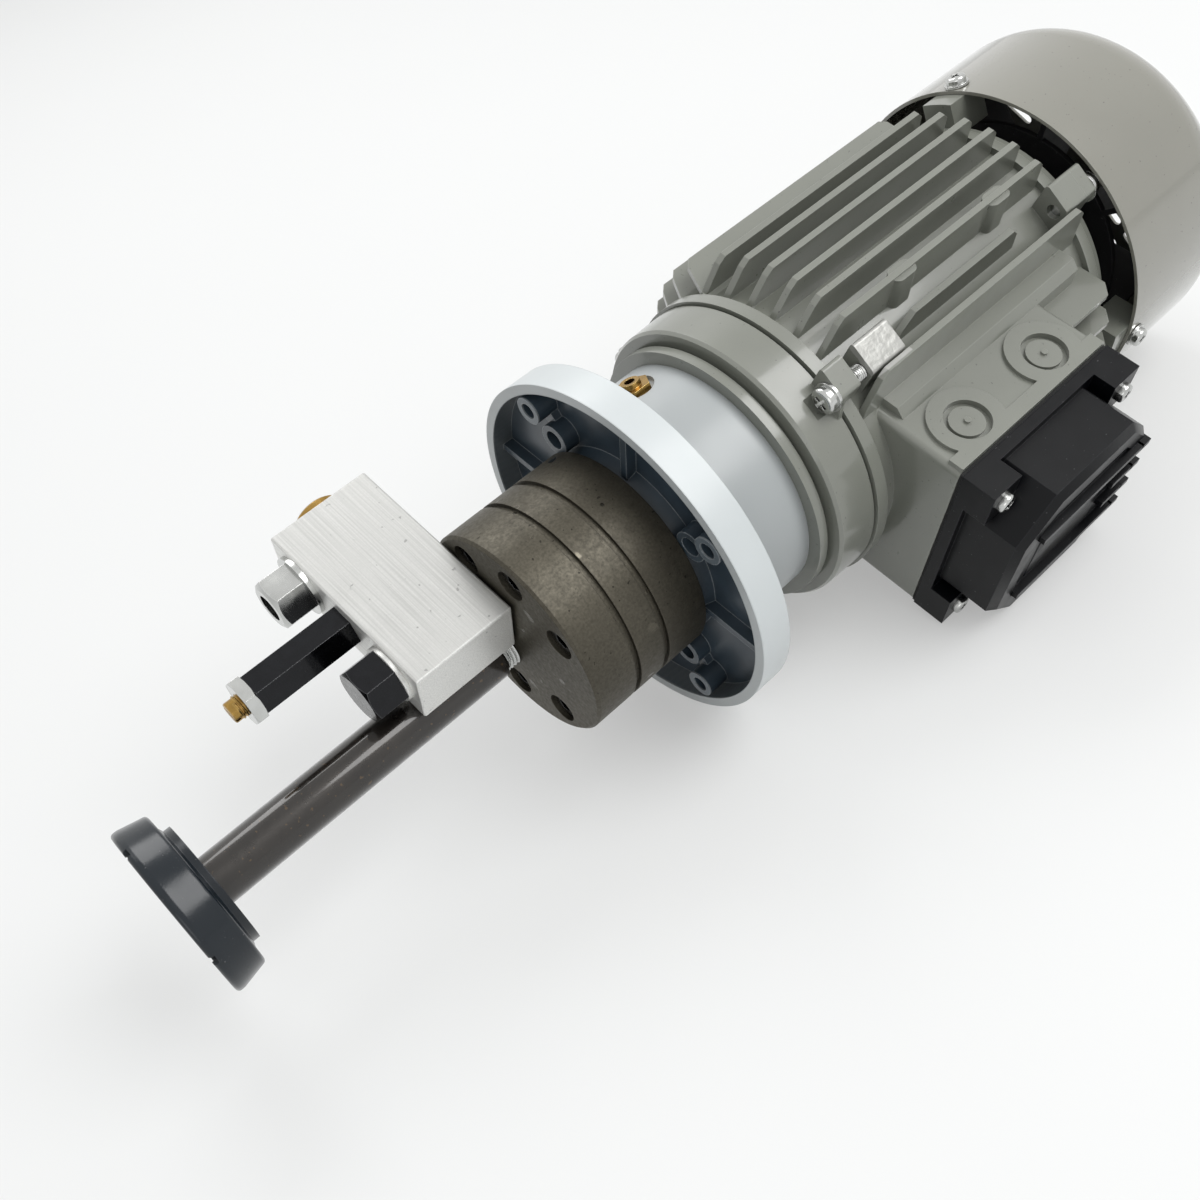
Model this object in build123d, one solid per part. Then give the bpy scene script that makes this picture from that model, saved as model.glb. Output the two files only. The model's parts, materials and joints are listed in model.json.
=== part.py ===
from build123d import *
import os
from math import cos, pi, sin, sqrt

os.makedirs("parts", exist_ok=True)

# Electric lubrication pump, lying as it is stored.
# X runs along the motor axis, from the strainer to the fan cover. X = 0 is the front face of the flange.
# -Y is the side of the terminal box, +Z is up. All sizes are in millimetres.

# Clearances between pieces
turning_gap = 0.05          # radial gap of a running fit
screw_gap = 0.15            # radial gap round a screw in a plain hole
fit_gap = 0.05              # radial gap of a locating fit
end_play = 0.05             # axial gap beside a turning piece

# Flange and bell
flange_radius = 62.0
flange_depth = 11.7
flange_rim_wall = 3.4
flange_web = 3.7
flange_screw_circle = 53.0
flange_screw_hole = 2.75
sleeve_circle = 41.0
sleeve_radius = 5.4
sleeve_hole = 3.3
flange_first_angle = 42.0
bell_radius = 43.0
bell_wall = 4.5
bell_end = 42.3
pump_pad_radius = 33.0
pump_seat = 2.0             # where the pump's rear plate meets the flange
hub_bore = 16.0
fitting_station = 29.0
fitting_angle = 57.0
fitting_radius = 4.9
fitting_hexagon = 11.0
fitting_head = 2.4
fitting_seat = 41.5           # distance of the spot face from the motor axis
fitting_spot_radius = 7.2

# Motor shields and frame
frame_radius = 49.5
shield_nose_step = 2.0
shield_nose_radius = frame_radius - shield_nose_step
shield_nose_end = 45.8
shield_groove_step = 4.3
shield_groove_radius = frame_radius - shield_groove_step
shield_groove_end = 47.4
shield_overhang = 2.5       # how far the shield's edge stands out past the frame
shield_radius = frame_radius + shield_overhang
shield_end = 62.6
shield_wall = 4.0
shield_spigot = 5.0
frame_start = 63.5
frame_end = 183.0
frame_wall = 3.5
frame_lip_height = 3.5
frame_lip_radius = frame_radius + frame_lip_height
frame_lip = 4.6
rear_shield_end = 189.0
lug_angle = 118.8
lug_count = 3
tie_height = 5.9            # height of the tie screws over the frame
tie_circle = frame_radius + tie_height
lug_width = 11.2
lug_height = 10.4
lug_top = frame_radius + lug_height
lug_lean = 0.27             # sideways shift of a lug for each mm of its height
lug_edge = 1.2
lug_flare = 10.5            # half width of the flared foot of a shield lug
shield_lug_start = 61.0
shield_lug_end = 69.3
frame_lug_start = 75.0
frame_lug_length = 15.0
rear_lug_length = 11.0
rear_lug_plate = 5.0
tie_screw_radius = 2.5
tie_washer_radius = 5.0
tie_washer = 1.0
rear_screw_grip = 9.0       # how far the rear screws reach into the frame

# Cooling fins
fin_pitch = 9.5
fin_tip_radius = 61.0
fin_thickness = 2.2
fin_foot_start = 69.0
fin_tip_start = 79.0
fin_end = 178.0
short_fin_start = 93.0
short_fin_end = 155.0
short_fin_drop = 5.0      # how much lower the short fin stands than its neighbours
fin_boss_stations = (107.0, 154.0)
fin_boss_top = 58.5

# Terminal box and its cover
box_start = 75.4
box_length = 73.9
box_half_width = 35.6
box_wall = 3.5
box_height = 17.8           # height of the cover joint over the frame
box_face = frame_radius + box_height
box_root = 16.5             # how deep the box walls reach into the frame
box_foot = frame_radius - box_root
box_floor_height = 3.5
box_floor = frame_radius + box_floor_height
box_edge = 5.2
knockout_stations = (92.7, 131.7)
knockout_rise = 7.0         # height of the knockouts' middle over the frame
knockout_depth = frame_radius + knockout_rise
knockout_boss_radius = 12.8
knockout_pocket_radius = 7.6
knockout_disc_radius = 5.8
knockout_bump_radius = 1.1
knockout_height = 1.4
knockout_pocket = 2.2
knockout_sink = 0.9
gasket_thickness = 1.0
cover_lip = 4.0
cover_tower_height = 12.0
cover_tower_width = 13.0
cover_height = 25.0
cover_wall = 2.5
cover_screw_inset = 6.5
cover_screw_hole = 2.1
cover_rib_count = 4
cover_rib_pitch = 10.5
cover_rib_height = 2.0
cover_rib_width = 2.4
board_length = 42.0
board_width = 28.0
board_height = 5.0

# Fan cover and fan
cover_rim_station = 190.6
fan_cover_radius = 61.5
fan_cover_sheet = 1.2
fan_cover_shoulder = 18.0
fan_cover_end = 254.0
fan_cover_screw_station = 195.0
fan_cover_screw_angle = 59.0
fan_cover_screw_length = 9.0
cover_arm_root = 3.8        # how deep the arms under those screws reach into the rear shield
fan_hub_start = 203.0
fan_hub_radius = 11.0
fan_tip_gap = 11.5          # from the blade tips to the outside of the fan cover
fan_radius = fan_cover_radius - fan_tip_gap
fan_blades = 8
fan_end = 228.0

# Shaft, rotor, stator and bearings
shaft_tip_radius = 5.5
bearing_bore_radius = 7.5
bearing_outer_radius = 17.5
bearing_width = 11.0
bearing_ball_radius = 3.0
bearing_balls = 8
rotor_seat_radius = 9.0
fan_seat_radius = 5.0
core_start = 95.0
core_length = 55.0
air_gap = 0.4
rotor_radius = 27.0
stator_slots = 18
front_bearing_start = 46.8
rear_bearing_start = 172.0
shaft_start = 26.0

# Pump
pump_radius = 36.8
pump_face = -43.5
front_plate_end = -28.0
ring_plate_end = -16.0
groove_width = 2.2
groove_depth = 1.4
pump_shaft_radius = 5.0
pump_screw_circle = 28.5
pump_screw_angles = (45, 90, 135, 225, 270, 315)
pump_screw_radius = 3.0
pump_screw_head_radius = 4.9
pump_counterbore = 7.5
gerotor_teeth = 4
gerotor_offset = 2.4
tooth_circle = 17.5
tooth_radius = 5.5
gerotor_clearance = 0.06
outer_rotor_radius = 20.6
coupling_radius = 13.0
coupling_start = 10.0
coupling_end = 40.0

# Manifold block and what is screwed into it
block_start = -80.5
block_gap = 0.9             # thickness of the seal between pump face and block
block_near = -1.0
block_far = 68.0
block_bottom = -2.5
block_top = 19.0
gallery_height = 8.3
gallery_radius = 4.0
bolt_y = 12.3
valve_y = 34.2
plug_y = 54.8
bolt_hexagon = 17.0
bolt_head = 11.0
bolt_radius = 5.0
plug_hexagon = 16.0
plug_head = 11.0
plug_bore = 4.6
plug_bore_depth = 7.0
seal_radius = 9.6
seal_thickness = 1.6
valve_hexagon = 13.0
valve_length = 34.0
valve_bore = 4.2
valve_thread = 5.0
lock_nut = 4.0
lock_nut_hexagon = 14.5
adjuster_radius = 3.9
adjuster_length = 24.0
adjuster_reach = 4.3        # how far the adjusting screw stands out of its lock nut
spring_radius = 3.2
spring_wire = 0.7
spring_turns = 6
valve_seat_depth = 9.5      # from the near face of the block to the valve seat
valve_seat_radius = 2.6
poppet_body = 3.0           # length of the part of the poppet that slides in the bore
poppet_cone = 3.5
poppet_nose_radius = 1.5

# Suction pipe and strainer
pipe_y = 5.7
pipe_z = -12.4
pipe_radius = 8.2
pipe_bore = 5.6
pipe_thread_radius = 6.6
pipe_thread_start = -49.0
pipe_thread_depth = 8.0
pipe_end = -159.0
strainer_face = -168.5
strainer_back = -157.5
strainer_radius = 28.4
strainer_back_radius = 26.6
strainer_step_radius = 20.2
strainer_step_end = -154.6
strainer_wall = 2.4
strainer_edge = 1.3
strainer_notch = 3.0
strainer_notch_depth = 1.5
strainer_notch_angles = (68, 150, 248, 330)


def disc(radius, start, end, y=0.0, z=0.0):
    """A cylinder along X between two stations."""
    return extrude(Plane.YZ.offset(start) * Pos(y, z) * Circle(radius), end - start)


def tube(outer, inner, start, end, y=0.0, z=0.0):
    """A tube along X; the bore runs a little past both ends."""
    return disc(outer, start, end, y, z) - disc(inner, start - 1, end + 1, y, z)


def hexagon(width, start, end, y=0.0, z=0.0):
    """A hexagonal bar along X, measured across its flats."""
    outline = RegularPolygon(width / 2, 6, major_radius=False)
    return extrude(Plane.YZ.offset(start) * Pos(y, z) * outline, end - start)


def turned(outline):
    """A turned piece: the closed outline holds station and radius pairs."""
    return revolve(make_face(Polyline(*outline, close=True)), Axis.X)


def brick(x0, x1, y0, y1, z0, z1):
    """A block between two opposite corners."""
    size = Box(x1 - x0, y1 - y0, z1 - z0)
    return Pos((x0 + x1) / 2, (y0 + y1) / 2, (z0 + z1) / 2) * size


def around(shape, angles):
    """Copies of a shape turned about the X axis."""
    return [Rot(angle, 0, 0) * shape for angle in angles]


def lug_angles():
    return [lug_angle + turn * 360 / lug_count for turn in range(lug_count)]


def cover_screw_angles():
    return [fan_cover_screw_angle + turn * 120 for turn in range(3)]


def flange_angles():
    return [flange_first_angle + turn * 90 for turn in range(4)]


def softened(shape, station, size):
    """Chamfer the round edges of a turned piece that lie at one station."""
    edges = shape.edges().filter_by(GeomType.CIRCLE).filter_by(
        lambda edge: abs(edge.center().X - station) < 0.01)
    return chamfer(edges, size)


def flange_bell():
    web_start = flange_depth - flange_web
    inner_rim = flange_radius - flange_rim_wall
    bell_bore = bell_radius - bell_wall
    body = turned([
        (0, inner_rim), (0, flange_radius), (flange_depth, flange_radius),
        (flange_depth, bell_radius + 2), (flange_depth + 2, bell_radius),
        (bell_end, bell_radius), (bell_end, bell_bore), (flange_depth + 1, bell_bore),
        (flange_depth + 1, hub_bore), (pump_seat, hub_bore), (pump_seat, pump_pad_radius),
        (web_start, pump_pad_radius + 2), (web_start, inner_rim),
    ])
    outer_boss = disc(4.8, 0, flange_depth, flange_screw_circle)
    sleeve = disc(sleeve_radius, pump_seat + 0.3, flange_depth, sleeve_circle)
    neck = brick(web_start - 3, flange_depth, sleeve_circle, flange_screw_circle, -2.2, 2.2)
    for angle in flange_angles():
        body += Rot(angle, 0, 0) * (outer_boss + sleeve + neck)
    rib = brick(web_start - 4, flange_depth, pump_pad_radius + 1, inner_rim + 1, -1.25, 1.25)
    body += around(rib, [angle + 45 for angle in flange_angles()])
    screw_hole = disc(flange_screw_hole, -1, flange_depth + 3, flange_screw_circle)
    sleeve_well = disc(sleeve_hole, -1, web_start + 1, sleeve_circle)
    body -= around(screw_hole + sleeve_well, flange_angles())
    pump_tapping = disc(pump_screw_radius + fit_gap, pump_seat - 1, flange_depth + 2, pump_screw_circle)
    body -= around(pump_tapping, pump_screw_angles)
    port = Cylinder(fitting_radius + fit_gap, 4 * bell_wall)
    port = Pos(fitting_station, bell_radius, 0) * Rot(90, 0, 0) * port
    spot = Cylinder(fitting_spot_radius, bell_wall, align=(Align.CENTER, Align.CENTER, Align.MAX))
    port += Pos(fitting_station, fitting_seat, 0) * Rot(90, 0, 0) * spot
    body -= Rot(fitting_angle, 0, 0) * port
    return body


def radial_turned(outline, station):
    """A turned piece that points outwards along Y at a station: outline holds distance and radius."""
    face = make_face(Polyline(*[(radius, distance) for distance, radius in outline], close=True))
    return Pos(station, 0, 0) * revolve(face, Axis.Y)


def bell_brass_fitting():
    seat = fitting_seat
    tip = seat + fitting_head + 1.5
    stem = radial_turned([(bell_radius - bell_wall, 0), (bell_radius - bell_wall, fitting_radius),
                          (seat + 1, fitting_radius), (seat + 1, 0)], fitting_station)
    flats = RegularPolygon(fitting_hexagon / 2, 6, major_radius=False)
    head = Pos(fitting_station, seat + fitting_head, 0) * Rot(90, 0, 0) * extrude(flats, fitting_head)
    nose = radial_turned([(seat + 1, 0), (seat + 1, 3.6), (tip, 3.2), (tip, 0)], fitting_station)
    bore = radial_turned([(seat - 3, 0), (seat - 3, 1.8), (seat + 6, 1.8), (seat + 6, 0)], fitting_station)
    return Rot(fitting_angle, 0, 0) * (stem + head + nose - bore)


def front_shield():
    spigot_radius = frame_radius - frame_wall - fit_gap
    hub_radius = bearing_outer_radius + 4
    hub_end = front_bearing_start + bearing_width
    body = turned([
        (bell_end, hub_bore - 6), (bell_end, shield_nose_radius), (shield_nose_end, shield_nose_radius),
        (shield_nose_end, shield_groove_radius), (shield_groove_end, shield_groove_radius),
        (shield_groove_end, shield_radius - 1.2), (shield_groove_end + 1.2, shield_radius - 0.4),
        (shield_end, shield_radius), (shield_end, spigot_radius), (shield_end + shield_spigot, spigot_radius),
        (shield_end + shield_spigot, spigot_radius - 3), (shield_nose_end + shield_wall, spigot_radius - 4),
        (shield_nose_end + shield_wall, hub_radius), (hub_end, hub_radius), (hub_end, bearing_outer_radius),
        (front_bearing_start, bearing_outer_radius), (front_bearing_start, hub_bore - 6),
    ])
    lug = tie_lug(shield_lug_start, shield_end, frame_radius - 3) + lug_flank()
    lug += tie_lug(shield_end - 1, shield_lug_end, frame_lip_radius + 0.3)
    hole = disc(tie_screw_radius + screw_gap, shield_lug_start - 1, shield_lug_end + 1, tie_circle)
    hole += disc(tie_washer_radius + 0.3, shield_lug_start - 6, shield_lug_start, tie_circle)
    body += around(lug, lug_angles())
    return body - around(hole, lug_angles())


def tie_lug(start, end, foot):
    """A lug for a tie screw: a block that leans to one side, with its top edges rounded."""
    half = lug_width / 2
    foot_shift = lug_lean * (frame_radius - foot)
    top_shift = lug_lean * (frame_radius - lug_top)
    outline = make_face(Polyline((foot, foot_shift - half), (lug_top, top_shift - half),
                                 (lug_top, top_shift + half), (foot, foot_shift + half), close=True))
    lug = extrude(Plane.YZ.offset(start) * outline, end - start)
    return fillet(lug.edges().filter_by(Axis.X).group_by(Axis.Y)[-1], lug_edge)


def lug_flank():
    """The sloping flank that widens a shield lug at its foot."""
    foot = frame_radius - 3
    top = lug_top - lug_edge
    outline = make_face(Polyline((foot, 0), (top, 0), (top, lug_width / 2 - lug_lean * (top - frame_radius)),
                                 (foot, lug_flare), close=True))
    return extrude(Plane.YZ.offset(shield_lug_start) * outline, shield_end - shield_lug_start)


def screw_head(radius, height):
    """A pan head with a cross recess; it stands on z = 0 and points up."""
    head = Cylinder(radius, height, align=(Align.CENTER, Align.CENTER, Align.MIN))
    head = fillet(head.edges().sort_by(Axis.Z)[-1], height * 0.45)
    arm = Box(radius * 1.1, radius * 0.28, height, align=(Align.CENTER, Align.CENTER, Align.MIN))
    cross = Pos(0, 0, height * 0.45) * (arm + Rot(0, 0, 90) * arm)
    return head - cross


def tie_screws(head_station, tip_station, facing):
    """Three screws with washers along X; facing is -1 when the heads look towards the pump."""
    seat = head_station + facing * tie_washer
    near, far = sorted((head_station, seat))
    washer = tube(tie_washer_radius, tie_screw_radius, near, far, tie_circle)
    head = Pos(seat, tie_circle, 0) * Rot(0, 90 * facing, 0) * screw_head(4.3, 3.2)
    shank = disc(tie_screw_radius, min(seat, tip_station), max(seat, tip_station), tie_circle)
    return around(head + shank, lug_angles()), around(washer, lug_angles())


def vertical_fin(y, tip, foot, start, end):
    """A fin that stands up from the frame, with a raked front edge."""
    rake = fin_tip_start - fin_foot_start
    outline = make_face(Polyline((start, foot), (start + rake * 0.75, tip - 2.2), (start + rake, tip),
                                 (end - 2.2, tip), (end, tip - 2.2), (end, foot), close=True))
    return extrude(Plane.XZ.offset(-y - fin_thickness / 2) * outline, fin_thickness)


def fin_foot(offset):
    """Height inside the frame's wall at which a fin starts, so that it is rooted in the casting."""
    middle = frame_radius - frame_wall / 2
    return sqrt(middle ** 2 - offset ** 2)


def frame_fins():
    fins = []
    for step in (-3.5, -2.5, -1.5, -0.5, 0.5, 1.5, 2.5, 3.5):
        y = step * fin_pitch + 0.25
        tip = sqrt(fin_tip_radius ** 2 - y ** 2)
        if step == -2.5:
            top = vertical_fin(y, tip - short_fin_drop, fin_foot(y), short_fin_start, short_fin_end)
        else:
            top = vertical_fin(y, tip, fin_foot(y), fin_foot_start, fin_end)
        fins += [top, mirror(top, Plane.XY)]
    for step in (-4, -3, -2, -1, 0, 1, 2, 3, 4):
        z = step * fin_pitch
        tip = sqrt(fin_tip_radius ** 2 - z ** 2)
        start = short_fin_start if step == 0 else fin_foot_start
        end = short_fin_end if step == 0 else fin_end
        fins.append(Rot(-90, 0, 0) * vertical_fin(-z, tip, fin_foot(z), start, end))
        if abs(step) < 4:
            fins.append(box_side_fin(z))
    return fins


def box_side_fin(z):
    """A short rounded fin behind the terminal box."""
    foot = -fin_foot(z)
    tip = -sqrt(fin_tip_radius ** 2 - z ** 2)
    start = box_start + box_length - 1
    outline = make_face(Polyline((start, foot), (start, tip), (fin_end - 4, tip), (fin_end, tip + 4),
                                 (fin_end, foot), close=True))
    return extrude(Plane.XY.offset(z - fin_thickness / 2) * outline, fin_thickness)


def terminal_box():
    end = box_start + box_length
    shell = brick(box_start, end, -box_face, -box_foot, -box_half_width, box_half_width)
    shell = fillet(shell.edges().filter_by(Axis.Y), 2.5)
    cavity = brick(box_start + box_wall, end - box_wall, -box_face - 1, -box_floor,
                   -box_half_width + box_wall, box_half_width - box_wall)
    shell -= cavity
    post = Cylinder(4.2, box_face - box_floor, align=(Align.CENTER, Align.CENTER, Align.MIN))
    tapping = Cylinder(1.6, 12, align=(Align.CENTER, Align.CENTER, Align.MAX))
    for x, z in cover_screw_places():
        shell += Pos(x, -box_floor, z) * Rot(90, 0, 0) * post
        shell -= Pos(x, -box_face - 0.01, z) * Rot(90, 0, 0) * tapping
    for x, z in board_places():
        board_post = Cylinder(3.0, 3.0, align=(Align.CENTER, Align.CENTER, Align.MIN))
        shell += Pos(x, -box_floor, z) * Rot(90, 0, 0) * board_post
    shell += knockout_bosses()
    for station in knockout_stations:
        place = Pos(station, -knockout_depth, box_half_width + knockout_height)
        shell -= place * knockout_cylinder(knockout_pocket_radius, knockout_pocket)
        shell += place * Pos(0, 0, -knockout_sink) * knockout_cylinder(knockout_disc_radius, knockout_pocket)
        shell += place * knockout_cylinder(knockout_bump_radius, knockout_pocket)
    return shell


def cover_screw_places():
    x0 = box_start + cover_screw_inset
    x1 = box_start + box_length - cover_screw_inset
    z = box_half_width - cover_screw_inset
    return [(x0, z), (x1, z), (x0, -z), (x1, -z)]


def board_places():
    middle = box_start + box_length / 2
    return [(middle - 16, 0), (middle + 16, 0)]


def knockout_cylinder(radius, depth):
    """A cylinder that reaches down from the top of a knockout boss."""
    return Cylinder(radius, depth, align=(Align.CENTER, Align.CENTER, Align.MAX))


def knockout_bosses():
    """The raised bosses of the two knockouts, and the raised edge that carries the cover."""
    edge = brick(box_start + 1, box_start + box_length - 1, -box_face, -box_face + box_edge,
                 box_half_width - 1, box_half_width + knockout_height)
    bosses = edge
    for station in knockout_stations:
        place = Pos(station, -knockout_depth, box_half_width + knockout_height)
        bosses += place * knockout_cylinder(knockout_boss_radius, knockout_height + 1)
    limit = brick(box_start, box_start + box_length, -box_face, 0, 0, 2 * box_half_width)
    return bosses & limit


def motor_frame():
    bore = frame_radius - frame_wall
    body = disc(frame_radius, frame_start, frame_end)
    body += disc(frame_lip_radius, frame_start, frame_start + frame_lip)
    body += disc(frame_lip_radius - 1, frame_end - 4, frame_end)
    body += frame_fins()
    body += terminal_box()
    base = brick(box_start + 4, fin_end - 8, -42.5, -33.5, frame_radius - 25, box_half_width + 3)
    body += chamfer(base.edges().filter_by(Axis.X).group_by(Axis.Z)[-1].sort_by(Axis.Y)[0], 2.9)
    for x in fin_boss_stations:
        outline = Pos(x, -1.5 * fin_pitch + 0.25) * SlotOverall(10.5, 6)
        body += extrude(Plane.XY.offset(frame_radius - 4) * outline, fin_boss_top - frame_radius + 4)
    front_lug = tie_lug(frame_lug_start, frame_lug_start + frame_lug_length, frame_radius - 2)
    rear_lug = tie_lug(frame_end - rear_lug_length, frame_end, frame_radius - 2)
    body += around(front_lug, lug_angles())
    body += around(rear_lug, lug_angles())
    tapping = disc(tie_screw_radius + screw_gap, frame_start - 1, frame_lug_start + 12, tie_circle)
    rear_tapping = disc(tie_screw_radius + fit_gap, frame_end - rear_lug_length, frame_end + 1, tie_circle)
    body -= around(tapping + rear_tapping, lug_angles())
    return body - disc(bore, frame_start - 1, frame_end + 1)


def stator_core():
    outer = frame_radius - frame_wall - fit_gap
    inner = rotor_radius + air_gap
    body = tube(outer, inner, core_start, core_start + core_length)
    slot = brick(core_start - 1, core_start + core_length + 1, inner + 2, outer - 6, -1.7, 1.7)
    mouth = brick(core_start - 1, core_start + core_length + 1, inner - 1, inner + 3, -0.9, 0.9)
    return body - around(slot + mouth, [turn * 360 / stator_slots for turn in range(stator_slots)])


def stator_winding():
    """The two coil heads, tied in a ring at each end of the core."""
    inner = rotor_radius + 3.5
    outer = frame_radius - frame_wall - 6.5
    head = turned([(core_start, inner), (core_start, outer),
                   (core_start - 9, outer), (core_start - 13, outer - 3),
                   (core_start - 13, inner + 3), (core_start - 9, inner)])
    middle = core_start + core_length / 2
    return [head, mirror(head, Plane.YZ.offset(middle))]


def motor_shaft():
    front_shoulder = front_bearing_start + bearing_width
    rear_end = rear_bearing_start + bearing_width
    outline = [
        (shaft_start, 0), (shaft_start, shaft_tip_radius), (front_bearing_start - 2, shaft_tip_radius),
        (front_bearing_start - 2, bearing_bore_radius), (front_shoulder, bearing_bore_radius),
        (front_shoulder, rotor_seat_radius), (rear_bearing_start, rotor_seat_radius),
        (rear_bearing_start, bearing_bore_radius), (rear_end + 2, bearing_bore_radius),
        (rear_end + 2, fan_seat_radius), (fan_end - 6, fan_seat_radius), (fan_end - 6, 0),
    ]
    keyway = brick(shaft_start - 1, shaft_start + 12, shaft_tip_radius - 1.5, shaft_tip_radius + 1, -2, 2)
    return turned(outline) - keyway


def rotor_core():
    body = tube(rotor_radius, rotor_seat_radius, core_start, core_start + core_length)
    end_ring = tube(rotor_radius - 2, rotor_seat_radius + 8, core_start - 5, core_start)
    blade = brick(core_start - 11, core_start - 5, rotor_seat_radius + 9, rotor_radius - 3, -0.9, 0.9)
    end_ring += around(blade, [turn * 60 for turn in range(6)])
    middle = core_start + core_length / 2
    return body + end_ring + mirror(end_ring, Plane.YZ.offset(middle))


def bearing_rings(start):
    """Outer ring, inner ring and the caged balls of a deep-groove bearing."""
    end = start + bearing_width
    middle = (start + end) / 2
    pitch = (bearing_bore_radius + bearing_outer_radius) / 2
    groove = bearing_ball_radius + 0.12
    track = Pos(middle, 0, 0) * Rot(0, 90, 0) * Torus(pitch, groove)
    outer = tube(bearing_outer_radius - 0.01, pitch + 1.7, start, end) - track
    inner = tube(pitch - 1.7, bearing_bore_radius, start, end) - track
    ball = Pos(middle, pitch, 0) * Sphere(bearing_ball_radius)
    balls = around(ball, [turn * 360 / bearing_balls for turn in range(bearing_balls)])
    cage = tube(pitch + 0.9, pitch - 0.9, middle - 3.6, middle + 3.6)
    return outer, inner, cage + balls


def rear_shield():
    spigot_radius = frame_radius - frame_wall - fit_gap
    hub_radius = bearing_outer_radius + 4
    bearing_end = rear_bearing_start + bearing_width
    body = turned([
        (rear_shield_end, bearing_bore_radius + 1), (rear_shield_end, shield_radius - 5),
        (rear_shield_end - 3, shield_radius - 1), (frame_end, shield_radius - 1), (frame_end, spigot_radius),
        (frame_end - shield_spigot, spigot_radius), (frame_end - shield_spigot, spigot_radius - 4),
        (rear_shield_end - shield_wall, spigot_radius - 6), (rear_shield_end - shield_wall, hub_radius),
        (rear_bearing_start, hub_radius), (rear_bearing_start, bearing_outer_radius),
        (bearing_end, bearing_outer_radius), (bearing_end, bearing_bore_radius + 1),
    ])
    lug = tie_lug(frame_end, frame_end + rear_lug_plate, frame_radius - 3)
    hole = disc(tie_screw_radius + screw_gap, frame_end - 1, frame_end + rear_lug_plate + 2, tie_circle)
    body += around(lug, lug_angles())
    body -= around(hole, lug_angles())
    arm_top = fan_cover_radius - fan_cover_sheet - 0.1
    arm_foot = shield_radius - cover_arm_root
    arm = brick(rear_shield_end - 6, fan_cover_screw_station + 5, arm_foot, arm_top, -6, 6)
    arm &= disc(arm_top, rear_shield_end - 6, fan_cover_screw_station + 5)
    tapping = radial_turned([(arm_top - 9, 0), (arm_top - 9, 2.0), (arm_top + 1, 2.0), (arm_top + 1, 0)],
                            fan_cover_screw_station)
    return body + around(arm, cover_screw_angles()) - around(tapping, cover_screw_angles())


def cooling_fan():
    hub = tube(fan_hub_radius, fan_seat_radius, fan_hub_start, fan_end - 7)
    plate = tube(fan_radius - 6, fan_hub_radius - 1, fan_hub_start, fan_hub_start + 2)
    blade = brick(fan_hub_start, fan_end, fan_hub_radius - 2, fan_radius, -1, 1)
    blade -= Pos(fan_end, fan_hub_radius - 2, 0) * Box(16, 24, 4)
    return hub + plate + around(blade, [turn * 360 / fan_blades for turn in range(fan_blades)])


def fan_cover():
    outer = fan_cover_skin(0)
    inner = fan_cover_skin(fan_cover_sheet)
    body = outer - inner
    slot = Pos(fan_cover_end, 0, 0) * Rot(0, 90, 0) * extrude(SlotOverall(13, 3.4), 6, both=True)
    body -= around(Pos(0, 35, 0) * Rot(90, 0, 0) * slot, [turn * 15 for turn in range(24)])
    body -= around(Pos(0, 18, 0) * Rot(90, 0, 0) * slot, [turn * 30 for turn in range(12)])
    inside = fan_cover_radius - 2 * fan_cover_sheet
    outside = fan_cover_radius + fan_cover_sheet
    hole = radial_turned([(inside, 0), (inside, 2.2), (outside, 2.2), (outside, 0)], fan_cover_screw_station)
    return body - around(hole, cover_screw_angles())


def fan_cover_skin(inset):
    """The solid inside one face of the sheet: a cylinder with a well-rounded rear shoulder."""
    radius = fan_cover_radius - inset
    end = fan_cover_end - inset
    start = cover_rim_station - (1 if inset else 0)
    round_radius = fan_cover_shoulder - inset
    body = disc(radius, start, end)
    rim = body.edges().filter_by(GeomType.CIRCLE).sort_by(Axis.X)[-1]
    return fillet(rim, round_radius)


def fan_cover_screws():
    seat = fan_cover_radius + 1.0
    tip = seat - fan_cover_screw_length
    shank = radial_turned([(tip, 0), (tip, 1.95), (seat, 1.95), (seat, 0)], fan_cover_screw_station)
    head = Pos(fan_cover_screw_station, seat, 0) * Rot(-90, 0, 0) * screw_head(3.4, 2.4)
    return around(shank + head, cover_screw_angles())


def fan_cover_washers():
    seat = fan_cover_radius + 0.1
    outline = [(seat, 2.1), (seat, 4.2), (seat + 0.9, 4.2), (seat + 0.9, 2.1)]
    washer = radial_turned(outline, fan_cover_screw_station)
    return around(washer, cover_screw_angles())


def cover_outline(y0, y1, inset):
    end = box_start + box_length
    return brick(box_start + inset, end - inset, y1, y0, -box_half_width + inset, box_half_width - inset)


def terminal_gasket():
    body = cover_outline(-box_face, -box_face - gasket_thickness, 0.4)
    body -= cover_outline(-box_face + 1, -box_face - gasket_thickness - 1, box_wall)
    hole = Cylinder(2.4, 6)
    corner = Cylinder(4.6, gasket_thickness, align=(Align.CENTER, Align.CENTER, Align.MIN))
    for x, z in cover_screw_places():
        body += Pos(x, -box_face, z) * Rot(90, 0, 0) * corner
        body -= Pos(x, -box_face, z) * Rot(90, 0, 0) * hole
    return body


def octagon_block(y0, y1, inset, cut):
    """The raised middle of the terminal cover, with its corners cut off round the screws."""
    body = cover_outline(y0, y1, inset)
    return chamfer(body.edges().filter_by(Axis.Y), cut)


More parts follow.
